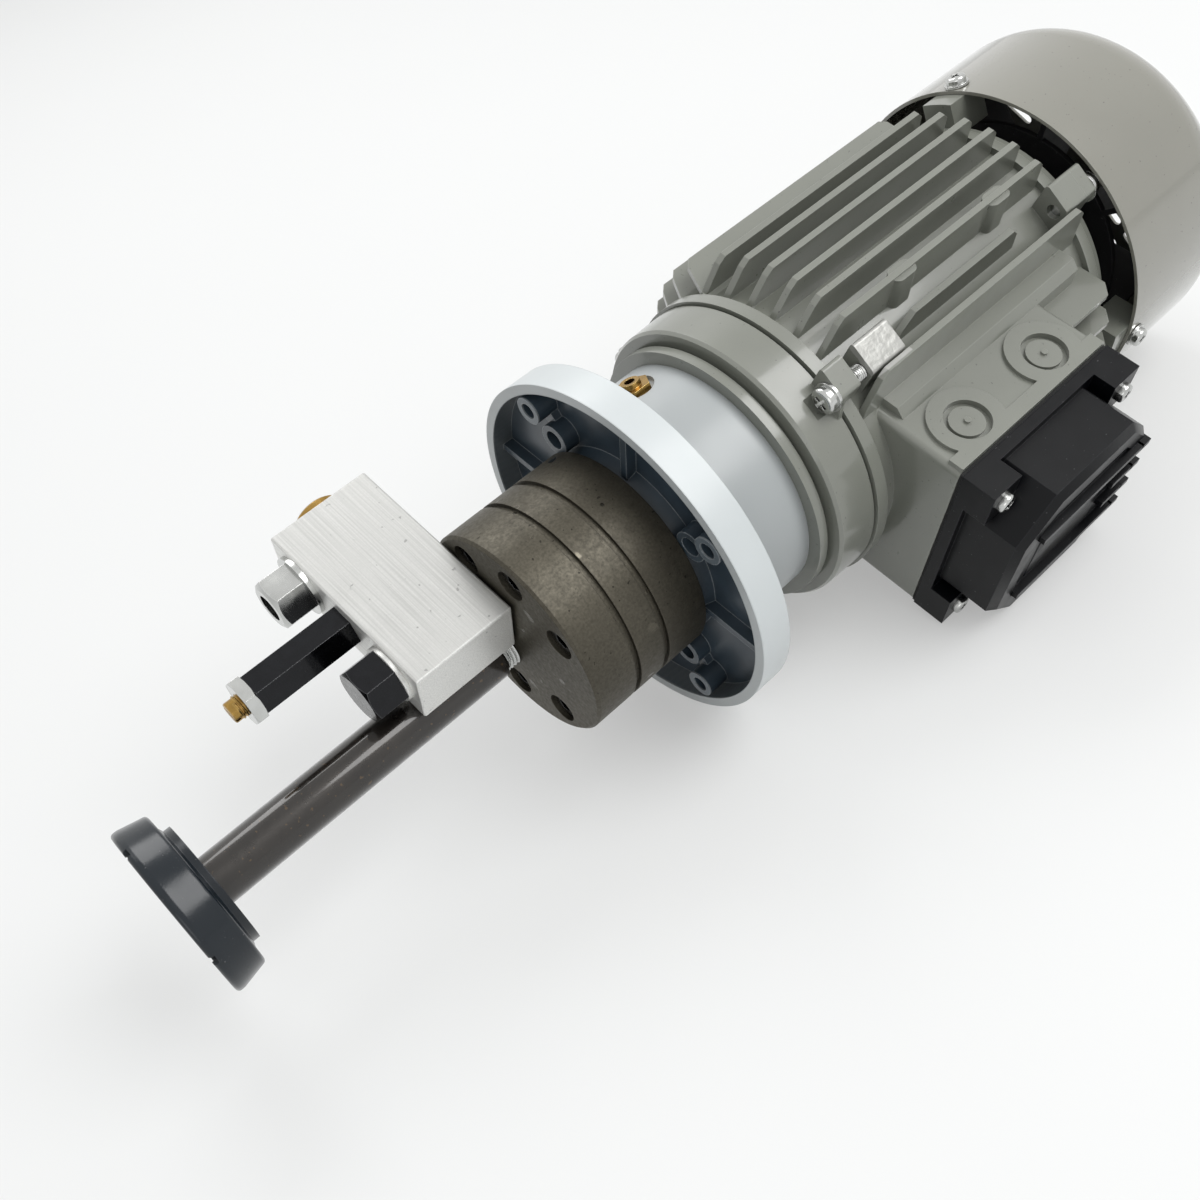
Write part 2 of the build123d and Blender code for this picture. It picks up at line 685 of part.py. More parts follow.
def terminal_cover():
    joint = -box_face - gasket_thickness
    lip_top = joint - cover_lip
    tower_top = joint - cover_tower_height
    crown = joint - cover_height
    body = cover_outline(joint, lip_top, 0)
    crown_body = octagon_block(lip_top + 1, crown, 3.2, 14.0)
    body += chamfer(crown_body.faces().sort_by(Axis.Y)[0].edges(), 2.4)
    width = cover_tower_width
    for x, z in cover_screw_places():
        side = 1 if z > 0 else -1
        x0 = box_start if x < box_start + box_length / 2 else box_start + box_length - width
        z0 = box_half_width - width if side > 0 else -box_half_width
        body += brick(x0, x0 + width, tower_top, lip_top + 1, z0, z0 + width)
    hollow = octagon_block(joint + 1, crown + cover_wall, 3.2 + cover_wall, 14.0)
    body -= hollow
    panel = cover_outline(crown + 0.9, crown - 1, 12.5)
    body -= chamfer(panel.edges().filter_by(Axis.Y), 6)
    first = (cover_rib_count - 1) / 2 * cover_rib_pitch
    for number in range(cover_rib_count):
        z = first - number * cover_rib_pitch
        body += brick(box_start + 13, box_start + box_length - 8, crown - cover_rib_height, crown + 1.5,
                      z - cover_rib_width / 2, z + cover_rib_width / 2)
    hole = Cylinder(cover_screw_hole, 2 * (cover_height + box_edge))
    for x, z in cover_screw_places():
        body -= Pos(x, -box_face, z) * Rot(90, 0, 0) * hole
    return body


def terminal_cover_screws():
    seat = box_face + gasket_thickness + cover_tower_height
    shank = Cylinder(1.55, cover_tower_height + 7, align=(Align.CENTER, Align.CENTER, Align.MAX))
    screw = screw_head(3.3, 2.4) + shank
    return [Pos(x, -seat, z) * Rot(90, 0, 0) * screw for x, z in cover_screw_places()]


def stud_places():
    middle = box_start + box_length / 2
    return [(middle + column * 12, row * 8) for column in (-1, 0, 1) for row in (-1, 1)]


def terminal_board():
    middle = box_start + box_length / 2
    seat = -box_floor - 3.0
    half = board_length / 2
    body = brick(middle - half, middle + half, seat - board_height, seat, -board_width / 2, board_width / 2)
    body = fillet(body.edges().filter_by(Axis.Y), 3)
    groove = brick(middle - half - 1, middle + half + 1, seat - board_height - 1, seat - 3.5, -1, 1)
    holes = [Pos(x, seat, z) * Rot(90, 0, 0) * Cylinder(1.7, 3 * board_height) for x, z in stud_places()]
    return body - groove - holes


def terminal_studs():
    seat = -box_floor - 3.0
    studs = []
    for x, z in stud_places():
        stud = Cylinder(1.65, 11, align=(Align.CENTER, Align.CENTER, Align.MIN))
        nut = Pos(0, 0, 5) * extrude(RegularPolygon(3.0, 6, major_radius=False), 2.4)
        studs.append(Pos(x, seat, z) * Rot(90, 0, 0) * (stud + nut))
    return studs


def grooved_disc(start, end):
    """A pump disc with the groove that parts it from the one in front."""
    body = disc(pump_radius, start + groove_width, end)
    return body + disc(pump_radius - groove_depth, start, start + groove_width)


def pump_screw_holes(start, end):
    hole = disc(pump_screw_radius + screw_gap, start, end, pump_screw_circle)
    return around(hole, pump_screw_angles)


def pump_front_plate():
    body = disc(pump_radius, pump_face, front_plate_end)
    body = softened(body, pump_face, 0.9)
    well = disc(pump_screw_head_radius + 0.3, pump_face - 1, pump_face + pump_counterbore, pump_screw_circle)
    body -= around(well, pump_screw_angles)
    body -= pump_screw_holes(pump_face - 1, front_plate_end + 1)
    body -= disc(pump_shaft_radius + turning_gap, front_plate_end - 8, front_plate_end + 1)
    pipe_thread_end = pump_face + pipe_thread_depth + 1
    body -= disc(pipe_thread_radius + fit_gap, pump_face - 1, pipe_thread_end, pipe_y, pipe_z)
    body -= disc(bolt_radius + fit_gap, pump_face - 1, front_plate_end - 3, bolt_y, gallery_height)
    return body


def pump_ring_plate():
    body = grooved_disc(front_plate_end, ring_plate_end)
    chamber = outer_rotor_radius + turning_gap
    body -= disc(chamber, front_plate_end - 1, ring_plate_end + 1, 0, -gerotor_offset)
    return body - pump_screw_holes(front_plate_end - 1, ring_plate_end + 1)


def pump_rear_plate():
    body = grooved_disc(ring_plate_end, pump_seat)
    bush_end = pump_seat - 7
    body -= disc(pump_shaft_radius + 2.5 + 0.02, ring_plate_end - 1, bush_end)
    body -= disc(10.0 + 0.02, bush_end, pump_seat + 1)
    return body - pump_screw_holes(ring_plate_end - 1, pump_seat + 1)


def pump_bush():
    return tube(pump_shaft_radius + 2.5, pump_shaft_radius + turning_gap, ring_plate_end, pump_seat - 7)


def pump_shaft_seal():
    return tube(10.0, pump_shaft_radius + turning_gap, pump_seat - 7, pump_seat)


def pump_screws():
    seat = pump_face + pump_counterbore
    head = disc(pump_screw_head_radius, seat - 6, seat, pump_screw_circle)
    socket = hexagon(5.0, seat - 7, seat - 2.5, pump_screw_circle)
    shank = disc(pump_screw_radius, seat, flange_depth + 0.5, pump_screw_circle)
    return around(head - socket + shank, pump_screw_angles)


def pump_shaft():
    body = disc(pump_shaft_radius, front_plate_end - 7, shaft_start - 0.5)
    keyway = brick(shaft_start - 12, shaft_start, pump_shaft_radius - 1.5, pump_shaft_radius + 1, -2, 2)
    return body - keyway


def shaft_coupling():
    body = disc(coupling_radius, coupling_start, coupling_end)
    body = softened(body, coupling_start, 1.0)
    body = softened(body, coupling_end, 1.0)
    body -= disc(pump_shaft_radius, coupling_start - 1, shaft_start - 0.5)
    body -= disc(shaft_tip_radius, shaft_start - 0.5, coupling_end + 1)
    return body - brick(coupling_start - 1, coupling_end + 1, 0, shaft_tip_radius + 2.3, -2, 2)


def coupling_key():
    near = brick(shaft_start - 12, shaft_start, pump_shaft_radius - 1.5, shaft_tip_radius + 2.2, -1.98, 1.98)
    far = brick(shaft_start, shaft_start + 12, shaft_tip_radius - 1.5, shaft_tip_radius + 2.2, -1.98, 1.98)
    return near + far


def trochoid_point(turn):
    """A point of the inner rotor's outline: the track of a tooth centre, moved in by the tooth's radius."""
    lobes = gerotor_teeth + 1
    x = tooth_circle * cos(turn) + gerotor_offset * cos(lobes * turn)
    y = tooth_circle * sin(turn) + gerotor_offset * sin(lobes * turn)
    dx = -tooth_circle * sin(turn) - lobes * gerotor_offset * sin(lobes * turn)
    dy = tooth_circle * cos(turn) + lobes * gerotor_offset * cos(lobes * turn)
    speed = sqrt(dx * dx + dy * dy)
    inward = tooth_radius + gerotor_clearance
    return (x - inward * dy / speed, y + inward * dx / speed)


def gerotor_inner():
    steps = 16 * gerotor_teeth
    points = [trochoid_point(2 * pi * step / steps) for step in range(steps)]
    outline = make_face(Spline(*points, periodic=True))
    start = front_plate_end + end_play
    body = extrude(Plane.YZ.offset(start) * outline, ring_plate_end - front_plate_end - 2 * end_play)
    return body - disc(pump_shaft_radius, front_plate_end - 1, ring_plate_end + 1)


def gerotor_outer():
    valley = tooth_circle + 2 * gerotor_offset - tooth_radius + gerotor_clearance
    teeth = [Rot(0, 0, turn * 360 / (gerotor_teeth + 1)) * Pos(tooth_circle, 0) * Circle(tooth_radius)
             for turn in range(gerotor_teeth + 1)]
    opening = Circle(valley) - teeth
    outline = Circle(outer_rotor_radius) - opening
    start = front_plate_end + end_play
    # A tooth of the outer rotor stands at -Z, tip to tip with a lobe of the inner one.
    turned_outline = Rot(0, 0, -90) * outline
    thickness = ring_plate_end - front_plate_end - 2 * end_play
    return extrude(Plane.YZ.offset(start) * Pos(0, -gerotor_offset) * turned_outline, thickness)


def manifold_block():
    end = pump_face - block_gap
    body = brick(block_start, end, block_near, block_far, block_bottom, block_top)
    body = chamfer(body.edges(), 0.5)
    axis_z = gallery_height
    body -= disc(bolt_radius + screw_gap, block_start - 1, end + 1, bolt_y, axis_z)
    middle = (block_start + end) / 2
    body -= disc(valve_thread + fit_gap, block_start - 1, valve_seat_station(), valve_y, axis_z)
    body -= disc(valve_seat_radius, block_start, middle, valve_y, axis_z)
    body -= disc(6.0 + fit_gap, block_start - 1, block_start + 12, plug_y, axis_z)
    gallery = Cylinder(gallery_radius, block_far - bolt_y + 1, align=(Align.CENTER, Align.CENTER, Align.MIN))
    body -= Pos(middle, bolt_y, axis_z) * Rot(-90, 0, 0) * gallery
    thread = Cylinder(6.6 + fit_gap, 10, align=(Align.CENTER, Align.CENTER, Align.MAX))
    return body - Pos(middle, block_far + 1, axis_z) * Rot(-90, 0, 0) * thread


def manifold_bolt():
    seat = block_start - seal_thickness
    head = hexagon(bolt_hexagon, seat - bolt_head, seat, bolt_y, gallery_height)
    head &= Pos(0, bolt_y, gallery_height) * turned([
        (seat, 0), (seat, 12), (seat - bolt_head + 2, 12), (seat - bolt_head, 8.2), (seat - bolt_head, 0)])
    shank = disc(bolt_radius, seat, front_plate_end - 4, bolt_y, gallery_height)
    bore = disc(2.4, block_start + 10, front_plate_end, bolt_y, gallery_height)
    return head + shank - bore


def manifold_bolt_washer():
    return tube(seal_radius, bolt_radius + screw_gap, block_start - seal_thickness, block_start,
                bolt_y, gallery_height)


def port_seal():
    end = pump_face
    return tube(8.0, bolt_radius + screw_gap, end - block_gap, end, bolt_y, gallery_height)


def outlet_plug():
    seat = block_start - seal_thickness
    head = hexagon(plug_hexagon, seat - plug_head, seat, plug_y, gallery_height)
    head &= Pos(0, plug_y, gallery_height) * turned([
        (seat, 0), (seat, 12), (seat - plug_head + 3, 12), (seat - plug_head, 6.8), (seat - plug_head, 0)])
    body = head + disc(6.0, seat, block_start + 10, plug_y, gallery_height)
    tip = seat - plug_head
    return body - disc(plug_bore, tip - 1, tip + plug_bore_depth, plug_y, gallery_height)


def outlet_plug_seal():
    return tube(seal_radius + 0.8, 6.2, block_start - seal_thickness, block_start, plug_y, gallery_height)


def gallery_plug():
    middle = (block_start + pump_face - block_gap) / 2
    stem = Cylinder(6.6, 9, align=(Align.CENTER, Align.CENTER, Align.MAX))
    head = Cylinder(9.5, 3.2, align=(Align.CENTER, Align.CENTER, Align.MIN))
    head = chamfer(head.edges().sort_by(Axis.Z)[-1], 0.8)
    socket = extrude(RegularPolygon(3.0, 6, major_radius=False), 5)
    return Pos(middle, block_far, gallery_height) * Rot(-90, 0, 0) * (stem + head - socket)


def relief_valve_body():
    seat = block_start
    body = hexagon(valve_hexagon, seat - valve_length, seat, valve_y, gallery_height)
    body &= Pos(0, valve_y, gallery_height) * turned([
        (seat, 0), (seat, 12), (seat - valve_length + 1.5, 12),
        (seat - valve_length, 6.9), (seat - valve_length, 0)])
    body += disc(valve_thread, seat, seat + 9, valve_y, gallery_height)
    return body - disc(valve_bore, seat - valve_length - 1, seat + 10, valve_y, gallery_height)


def relief_lock_nut():
    end = block_start - valve_length
    tip = end - lock_nut
    corner = lock_nut_hexagon / sqrt(3)
    bevel = 1.0
    body = hexagon(lock_nut_hexagon, tip, end, valve_y, gallery_height)
    body &= Pos(0, valve_y, gallery_height) * turned([
        (end, 0), (end, corner - bevel), (end - bevel / 2, corner), (tip + bevel / 2, corner),
        (tip, corner - bevel), (tip, 0)])
    return body - disc(adjuster_radius + turning_gap, end - lock_nut - 1, end + 1, valve_y, gallery_height)


def adjuster_tip():
    return block_start - valve_length - lock_nut - adjuster_reach


def relief_adjuster():
    tip = adjuster_tip()
    body = disc(adjuster_radius, tip, tip + adjuster_length, valve_y, gallery_height)
    body = softened(body, tip, 0.6)
    slot = brick(tip - 1, tip + 1.8, valve_y - 6, valve_y + 6, gallery_height - 0.6, gallery_height + 0.6)
    return body - slot


def relief_spring_seat():
    start = adjuster_tip() + adjuster_length + end_play
    return disc(adjuster_radius, start, start + 2, valve_y, gallery_height) + \
        disc(spring_radius - spring_wire - 0.4, start + 2, start + 5, valve_y, gallery_height)


def valve_seat_station():
    return block_start + valve_seat_depth


def poppet_back():
    """Station of the poppet's back face when its cone rests on the seat."""
    slope = (adjuster_radius - poppet_nose_radius) / poppet_cone
    reach = (adjuster_radius - valve_seat_radius + fit_gap) / slope
    return valve_seat_station() - reach - poppet_body


def relief_poppet():
    back = poppet_back()
    shoulder = back + poppet_body
    stem = disc(spring_radius - spring_wire - 0.4, back - 4, back, valve_y, gallery_height)
    body = Pos(0, valve_y, gallery_height) * turned([
        (back, 0), (back, adjuster_radius), (shoulder, adjuster_radius),
        (shoulder + poppet_cone, poppet_nose_radius), (shoulder + poppet_cone, 0)])
    return body + stem


def relief_spring():
    start = adjuster_tip() + adjuster_length + end_play + 2 + spring_wire
    end = poppet_back() - spring_wire
    height = end - start
    middle = spring_radius - spring_wire / 2
    path = Helix(height / spring_turns, height, middle)
    section = Plane(origin=path @ 0, z_dir=path % 0) * Circle(spring_wire / 2)
    wire = sweep(section, path=path)
    return Pos(start, valve_y, gallery_height) * Rot(0, 90, 0) * wire


def suction_pipe():
    body = disc(pipe_radius, pipe_end, pipe_thread_start, pipe_y, pipe_z)
    body += disc(pipe_thread_radius, pipe_thread_start - 1, pump_face + pipe_thread_depth, pipe_y, pipe_z)
    body = body - disc(pipe_bore, pipe_end - 1, pump_face + pipe_thread_depth + 1, pipe_y, pipe_z)
    return body


def strainer_profile():
    wall = strainer_wall
    return [
        (strainer_face, strainer_radius - wall), (strainer_face, strainer_radius),
        (strainer_face + 2.4, strainer_radius), (strainer_back, strainer_back_radius),
        (strainer_back, strainer_step_radius + 2), (strainer_back + 0.8, strainer_step_radius),
        (strainer_step_end, strainer_step_radius), (strainer_step_end, pipe_radius + fit_gap),
        (strainer_back - 4.5, pipe_radius + fit_gap), (strainer_back - 4.5, strainer_step_radius - wall),
        (strainer_back - wall, strainer_step_radius), (strainer_back - wall, strainer_radius - 2 * wall),
        (strainer_face + 4.4, strainer_radius - 2 * wall), (strainer_face + 4.4, strainer_radius - wall),
    ]


def strainer_body():
    """The strainer's dished body, with soft outer edges and four small notches in its rim."""
    body = turned(strainer_profile())
    for station, radius in ((strainer_face, strainer_radius), (strainer_back, strainer_back_radius)):
        rim = [edge for edge in body.edges().filter_by(GeomType.CIRCLE)
               if abs(edge.center().X - station) < 0.01 and abs(edge.radius - radius) < 0.01]
        body = fillet(rim, strainer_edge)
    notch = brick(strainer_face - 1, strainer_face + strainer_notch_depth,
                  strainer_radius - strainer_wall - 1, strainer_radius + 1,
                  -strainer_notch / 2, strainer_notch / 2)
    return Pos(0, pipe_y, pipe_z) * (body - around(notch, strainer_notch_angles))


def strainer_screen():
    radius = strainer_radius - strainer_wall - fit_gap
    return disc(radius, strainer_face + 3.6, strainer_face + 4.4, pipe_y, pipe_z)


def strainer_ring():
    radius = strainer_radius - strainer_wall - fit_gap
    return tube(radius, radius - 3.5, strainer_face + 1.2, strainer_face + 3.6, pipe_y, pipe_z)


def save(name, shape):
    """Write one piece, or one group of like pieces, under its own name."""
    if isinstance(shape, (list, tuple)):
        solids = [solid for piece in shape for solid in piece.solids()]
    else:
        solids = list(shape.solids())
    export_step(solids[0] if len(solids) == 1 else Compound(children=solids), "parts/" + name + ".step")


def main():
    save("flange_bell", flange_bell())
    save("bell_brass_fitting", bell_brass_fitting())
    save("front_shield", front_shield())
    screws, washers = tie_screws(shield_lug_start, frame_lug_start + 10, -1)
    save("shield_screws", screws)
    save("shield_washers", washers)
    save("motor_frame", motor_frame())
    save("stator_core", stator_core())
    save("stator_winding", stator_winding())
    save("motor_shaft", motor_shaft())
    save("rotor_core", rotor_core())
    for side, start in (("front", front_bearing_start), ("rear", rear_bearing_start)):
        outer, inner, balls = bearing_rings(start)
        save(side + "_bearing_outer_ring", outer)
        save(side + "_bearing_inner_ring", inner)
        save(side + "_bearing_ball_cage", balls)
    save("rear_shield", rear_shield())
    screws, washers = tie_screws(frame_end + rear_lug_plate, frame_end - rear_screw_grip, 1)
    save("rear_shield_screws", screws)
    save("rear_shield_washers", washers)
    save("cooling_fan", cooling_fan())
    save("fan_cover", fan_cover())
    save("fan_cover_screws", fan_cover_screws())
    save("fan_cover_washers", fan_cover_washers())
    save("terminal_gasket", terminal_gasket())
    save("terminal_cover", terminal_cover())
    save("terminal_cover_screws", terminal_cover_screws())
    save("terminal_board", terminal_board())
    save("terminal_studs", terminal_studs())
    save("pump_front_plate", pump_front_plate())
    save("pump_ring_plate", pump_ring_plate())
    save("pump_rear_plate", pump_rear_plate())
    save("pump_bush", pump_bush())
    save("pump_shaft_seal", pump_shaft_seal())
    save("pump_screws", pump_screws())
    save("pump_shaft", pump_shaft())
    save("shaft_coupling", shaft_coupling())
    save("coupling_key", coupling_key())
    save("gerotor_inner", gerotor_inner())
    save("gerotor_outer", gerotor_outer())
    save("manifold_block", manifold_block())
    save("manifold_bolt", manifold_bolt())
    save("manifold_bolt_washer", manifold_bolt_washer())
    save("port_seal", port_seal())
    save("outlet_plug", outlet_plug())
    save("outlet_plug_seal", outlet_plug_seal())
    save("gallery_plug", gallery_plug())
    save("relief_valve_body", relief_valve_body())
    save("relief_lock_nut", relief_lock_nut())
    save("relief_adjuster", relief_adjuster())
    save("relief_spring_seat", relief_spring_seat())
    save("relief_spring", relief_spring())
    save("relief_poppet", relief_poppet())
    save("suction_pipe", suction_pipe())
    save("strainer_body", strainer_body())
    save("strainer_screen", strainer_screen())
    save("strainer_ring", strainer_ring())


main()
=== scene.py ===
import json
from math import cos, pi, radians, sin

import bpy
from bpy.props import FloatProperty, FloatVectorProperty, IntProperty, PointerProperty
from mathutils import Matrix, Vector


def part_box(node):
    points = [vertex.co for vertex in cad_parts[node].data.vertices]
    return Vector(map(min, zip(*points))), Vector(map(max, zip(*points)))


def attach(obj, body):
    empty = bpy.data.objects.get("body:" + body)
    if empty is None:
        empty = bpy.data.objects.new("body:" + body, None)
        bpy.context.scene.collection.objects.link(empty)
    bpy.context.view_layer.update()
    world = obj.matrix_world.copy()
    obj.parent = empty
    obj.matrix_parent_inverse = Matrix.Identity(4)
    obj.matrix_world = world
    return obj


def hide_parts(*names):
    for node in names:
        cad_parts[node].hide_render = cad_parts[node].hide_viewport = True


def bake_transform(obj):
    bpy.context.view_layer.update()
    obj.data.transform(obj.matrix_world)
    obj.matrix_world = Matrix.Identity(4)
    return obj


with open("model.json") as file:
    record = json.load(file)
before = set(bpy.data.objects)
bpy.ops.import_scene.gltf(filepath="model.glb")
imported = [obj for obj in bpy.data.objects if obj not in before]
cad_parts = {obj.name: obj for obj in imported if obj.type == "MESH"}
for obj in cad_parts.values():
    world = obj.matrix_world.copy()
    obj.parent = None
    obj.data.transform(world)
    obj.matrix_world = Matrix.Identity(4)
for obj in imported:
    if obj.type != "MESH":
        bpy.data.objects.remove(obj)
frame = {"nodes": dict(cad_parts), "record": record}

bl_info = {
    "name": "Electric lubrication pump",
    "version": (1, 0, 0),
    "blender": (4, 5, 0),
    "location": "View3D > Sidebar > Pump",
    "description": "Dresses the lubrication pump: its small threaded pieces, its finishes and a studio",
    "category": "Object",
}

MM = 0.001
crease_angle = radians(40)
merge_distance = 0.001 * MM
nodes = frame["nodes"]


def linear(code, alpha=1.0):
    """Turn an sRGB hex colour into the linear values that shaders work in."""
    channels = [int(code[place:place + 2], 16) / 255 for place in (1, 3, 5)]
    return tuple(c / 12.92 if c <= 0.04045 else ((c + 0.055) / 1.055) ** 2.4 for c in channels) + (alpha,)


def middle(node):
    """The middle of a CAD node's box."""
    low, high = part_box(node)
    return (low + high) / 2


def colour_property(name, description, code):
    """A colour for the sidebar, with an sRGB hex colour as its default."""
    return FloatVectorProperty(name=name, description=description, subtype="COLOR", size=4,
                               min=0.0, max=1.0, default=linear(code))


# Places read from the frame
adjuster_low, adjuster_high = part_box("relief_adjuster")
spring_low, spring_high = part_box("relief_spring")
screen_low, screen_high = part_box("strainer_screen")
pump_low, pump_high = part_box("pump_front_plate")

# The tie screws: where they stand, which the frame's boxes don't give, and the gap where they show
lug_angle = radians(118.8)
lug_count = 3
tie_circle = 55.4 * MM
tie_thread_radius = 2.45 * MM
lug_gap_start = 69.5 * MM
lug_gap = 5.3 * MM

# The top of the rubbed lug, in a frame turned to the lug: its height, its sides and its ends, in mm
rubbed_heights = (57.8, 70)
rubbed_sides = (-9.5, 4.5)
rubbed_ends = (74.5, 90.5)

# The bare threaded end of the suction pipe, and its distance from the pump
pipe_thread_length = 4.6 * MM
pipe_thread_gap = 0.1 * MM

# The driving slot of the adjusting screw, and the rounding of its ends
slot_depth = 1.8 * MM
slot_width = 1.2 * MM
adjuster_rounding = 0.4 * MM

# The flange's ring: the inner radius of its wall, and where it ends along X, in mm
ring_inner_mm = 58.7
ring_end_mm = 11.7

# How often the dark bands repeat in the stacked steel of the motor's cores
lamination_scale = 50.0

# The ribs across the terminal cover's crown; at the right their tails run on over the crown's edge
rib_count = 4
rib_height = 2.0 * MM
rib_half = 1.2 * MM
rib_pitch = 10.5 * MM
tail_start = 9.0 * MM         # from the right side of the cover
tail_end = 4.4 * MM

# The sunk panel of the crown, the room cleared of ribs in it, and the smooth raised field there
panel_depth = 0.9 * MM
cleared_half = 8.0 * MM
cleared_left = 12.0 * MM
cleared_right = 19.3 * MM
field_half = 13.0 * MM
field_left = 7.0 * MM         # from the cleared room's left end
field_right = 1.5 * MM
field_height = 0.35 * MM
field_root = 0.3 * MM
field_rounding = 0.25 * MM

# How the pump lies: on its flange, its fan cover and a corner of the terminal cover
floor_lean = radians(20.6)
floor_distance = 62.8 * MM
floor_size = 8.0

# The pale ground: its white, and how much of that shows over the lit floor
white_ground = "#f7f7f6"
floor_whiteness = 0.4

# The lamps: name, direction from the pump, distance and size in metres, and power in watts
lamps = (
    ("overhead", (0.38, -0.22, 0.90), 1.4, 1.0, 12.0),
    ("far_side", (0.2, 0.9, 0.5), 1.4, 0.8, 6.5),
    ("near_side", (-0.7, -0.6, 0.5), 1.5, 0.9, 2.0),
)

# The camera: its place, the ways that it looks and holds its top, and its lens on a 36 mm sensor
camera_place = (-0.16343, -0.16103, 0.34848)
camera_ahead = (0.36132, 0.37326, -0.85447)
camera_up = (0.59505, 0.61322, 0.5195)
camera_lens = 39.45
camera_sensor = 36.0


class PumpSizes(bpy.types.PropertyGroup):
    pipe_thread_pitch: FloatProperty(
        name="Pipe thread pitch", description="Distance between turns of the pipe thread",
        default=1.34 * MM, min=0.5 * MM, max=4 * MM, unit="LENGTH", precision=5)
    pipe_thread_radius: FloatProperty(
        name="Pipe thread radius", description="Outer radius of the pipe thread",
        default=7.3 * MM, min=3 * MM, max=12 * MM, unit="LENGTH", precision=5)
    screw_thread_pitch: FloatProperty(
        name="Screw thread pitch", description="Distance between turns of the tie screws' threads",
        default=0.8 * MM, min=0.3 * MM, max=2 * MM, unit="LENGTH", precision=5)
    adjuster_pitch: FloatProperty(
        name="Adjuster thread pitch", description="Distance between turns of the adjusting screw's thread",
        default=1.0 * MM, min=0.4 * MM, max=2 * MM, unit="LENGTH", precision=5)
    spring_half_turns: IntProperty(
        name="Spring half turns", description="Number of turns in each half of the relief spring",
        default=3, min=2, max=7)
    spring_wire: FloatProperty(
        name="Spring wire", description="Thickness of the relief spring's wire",
        default=0.7 * MM, min=0.3 * MM, max=1.5 * MM, unit="LENGTH", precision=5)
    screen_cells: IntProperty(
        name="Screen cells", description="Number of openings across the strainer's woven screen",
        default=34, min=10, max=60)
    screen_wire: FloatProperty(
        name="Screen wire", description="Thickness of the strainer screen's wires",
        default=0.45 * MM, min=0.2 * MM, max=1.0 * MM, unit="LENGTH", precision=5)


class PumpColours(bpy.types.PropertyGroup):
    flange: colour_property("Flange paint", "Pale blue-grey lacquer of the bell flange", "#c5cacb")
    # The flange's inner side: partly its own dark colour, partly painted shade of the recess
    flange_inside_and_shade: colour_property("Flange inside", "Dark blue-grey of the flange's inner side", "#3a4650")
    motor: colour_property("Motor paint", "Warm grey lacquer of the motor castings", "#787a72")
    cover: colour_property("Fan cover paint", "Grey-beige gloss of the fan cover", "#7f7e75")
    pump: colour_property("Pump steel", "Dark oiled steel of the pump discs", "#5d594f")
    block: colour_property("Manifold aluminium", "Pale bare aluminium of the manifold block", "#f2f2ef")
    pipe: colour_property("Pipe steel", "Brown-black oiled steel of the suction pipe", "#26211c")
    strainer: colour_property("Strainer plastic", "Blue-black moulded plastic of the strainer", "#111920")
    terminal: colour_property("Terminal cover plastic", "Blue-black plastic of the terminal cover", "#050609")
    floor: colour_property("Floor", "Plain pale floor", "#e0e1e1")


def sizes():
    return bpy.context.scene.pump_sizes


def colours():
    return bpy.context.scene.pump_colours


# Modelling helpers

def deselect_all():
    if bpy.context.object and bpy.context.object.mode == "EDIT":
        bpy.ops.object.mode_set(mode="OBJECT")
    bpy.ops.object.select_all(action="DESELECT")


def begin_edit(piece):
    deselect_all()
    bpy.context.view_layer.objects.active = piece
    piece.select_set(True)
    bpy.ops.object.mode_set(mode="EDIT")
    bpy.ops.mesh.select_all(action="DESELECT")


def end_edit():
    bpy.ops.object.mode_set(mode="OBJECT")


def apply_modifier(piece, kind, **settings):
    """Add one modifier, set it and apply it."""
    deselect_all()
    bpy.context.view_layer.objects.active = piece
    piece.select_set(True)
    modifier = piece.modifiers.new(kind, kind)
    for name, value in settings.items():
        setattr(modifier, name, value)
    bpy.ops.object.modifier_apply(modifier=modifier.name)


def settle(piece, place):
    """Move a piece that was shaped at the origin to its place, and keep the place in its mesh."""
    deselect_all()
    bpy.context.view_layer.objects.active = piece
    piece.select_set(True)
    piece.location = place
    bpy.ops.object.transform_apply(location=True, rotation=True, scale=True)


def join(name, pieces):
    deselect_all()
    for piece in pieces:
        piece.select_set(True)
    bpy.context.view_layer.objects.active = pieces[0]
    if len(pieces) > 1:
        bpy.ops.object.join()
    pieces[0].name = name
    pieces[0].data.name = name
    return pieces[0]


def block(low, high):
    """A box between two corners."""
    deselect_all()
    middle_place = [(a + b) / 2 for a, b in zip(low, high)]
    bpy.ops.mesh.primitive_cube_add(size=1, location=middle_place)
    piece = bpy.context.object
    piece.scale = [b - a for a, b in zip(low, high)]
    bpy.ops.object.transform_apply(location=True, rotation=True, scale=True)
    return piece


def helix(section_radius, corners, track_radius, pitch, length, steps=28):
    """Sweep a small ring along a helix round the X axis, from x = 0, and close its two open ends."""
    deselect_all()
    bpy.ops.mesh.primitive_circle_add(vertices=corners, radius=section_radius, fill_type="NOTHING",
                                      rotation=(pi / 2, 0, 0))
    piece = bpy.context.object
    bpy.ops.object.transform_apply(location=False, rotation=True, scale=False)
    begin_edit(piece)
    bpy.ops.mesh.select_all(action="SELECT")
    bpy.ops.transform.translate(value=(0, 0, track_radius))
    end_edit()
    turns = length / pitch
    apply_modifier(piece, "SCREW", axis="X", angle=2 * pi * turns, screw_offset=length, iterations=1,
                   steps=int(steps * turns), render_steps=int(steps * turns))
    begin_edit(piece)
    bpy.ops.mesh.select_mode(type="EDGE")
    bpy.ops.mesh.select_non_manifold()
    bpy.ops.mesh.fill()
    bpy.ops.mesh.select_all(action="SELECT")
    bpy.ops.mesh.remove_doubles(threshold=merge_distance)
    bpy.ops.mesh.normals_make_consistent(inside=False)
    end_edit()
    return piece


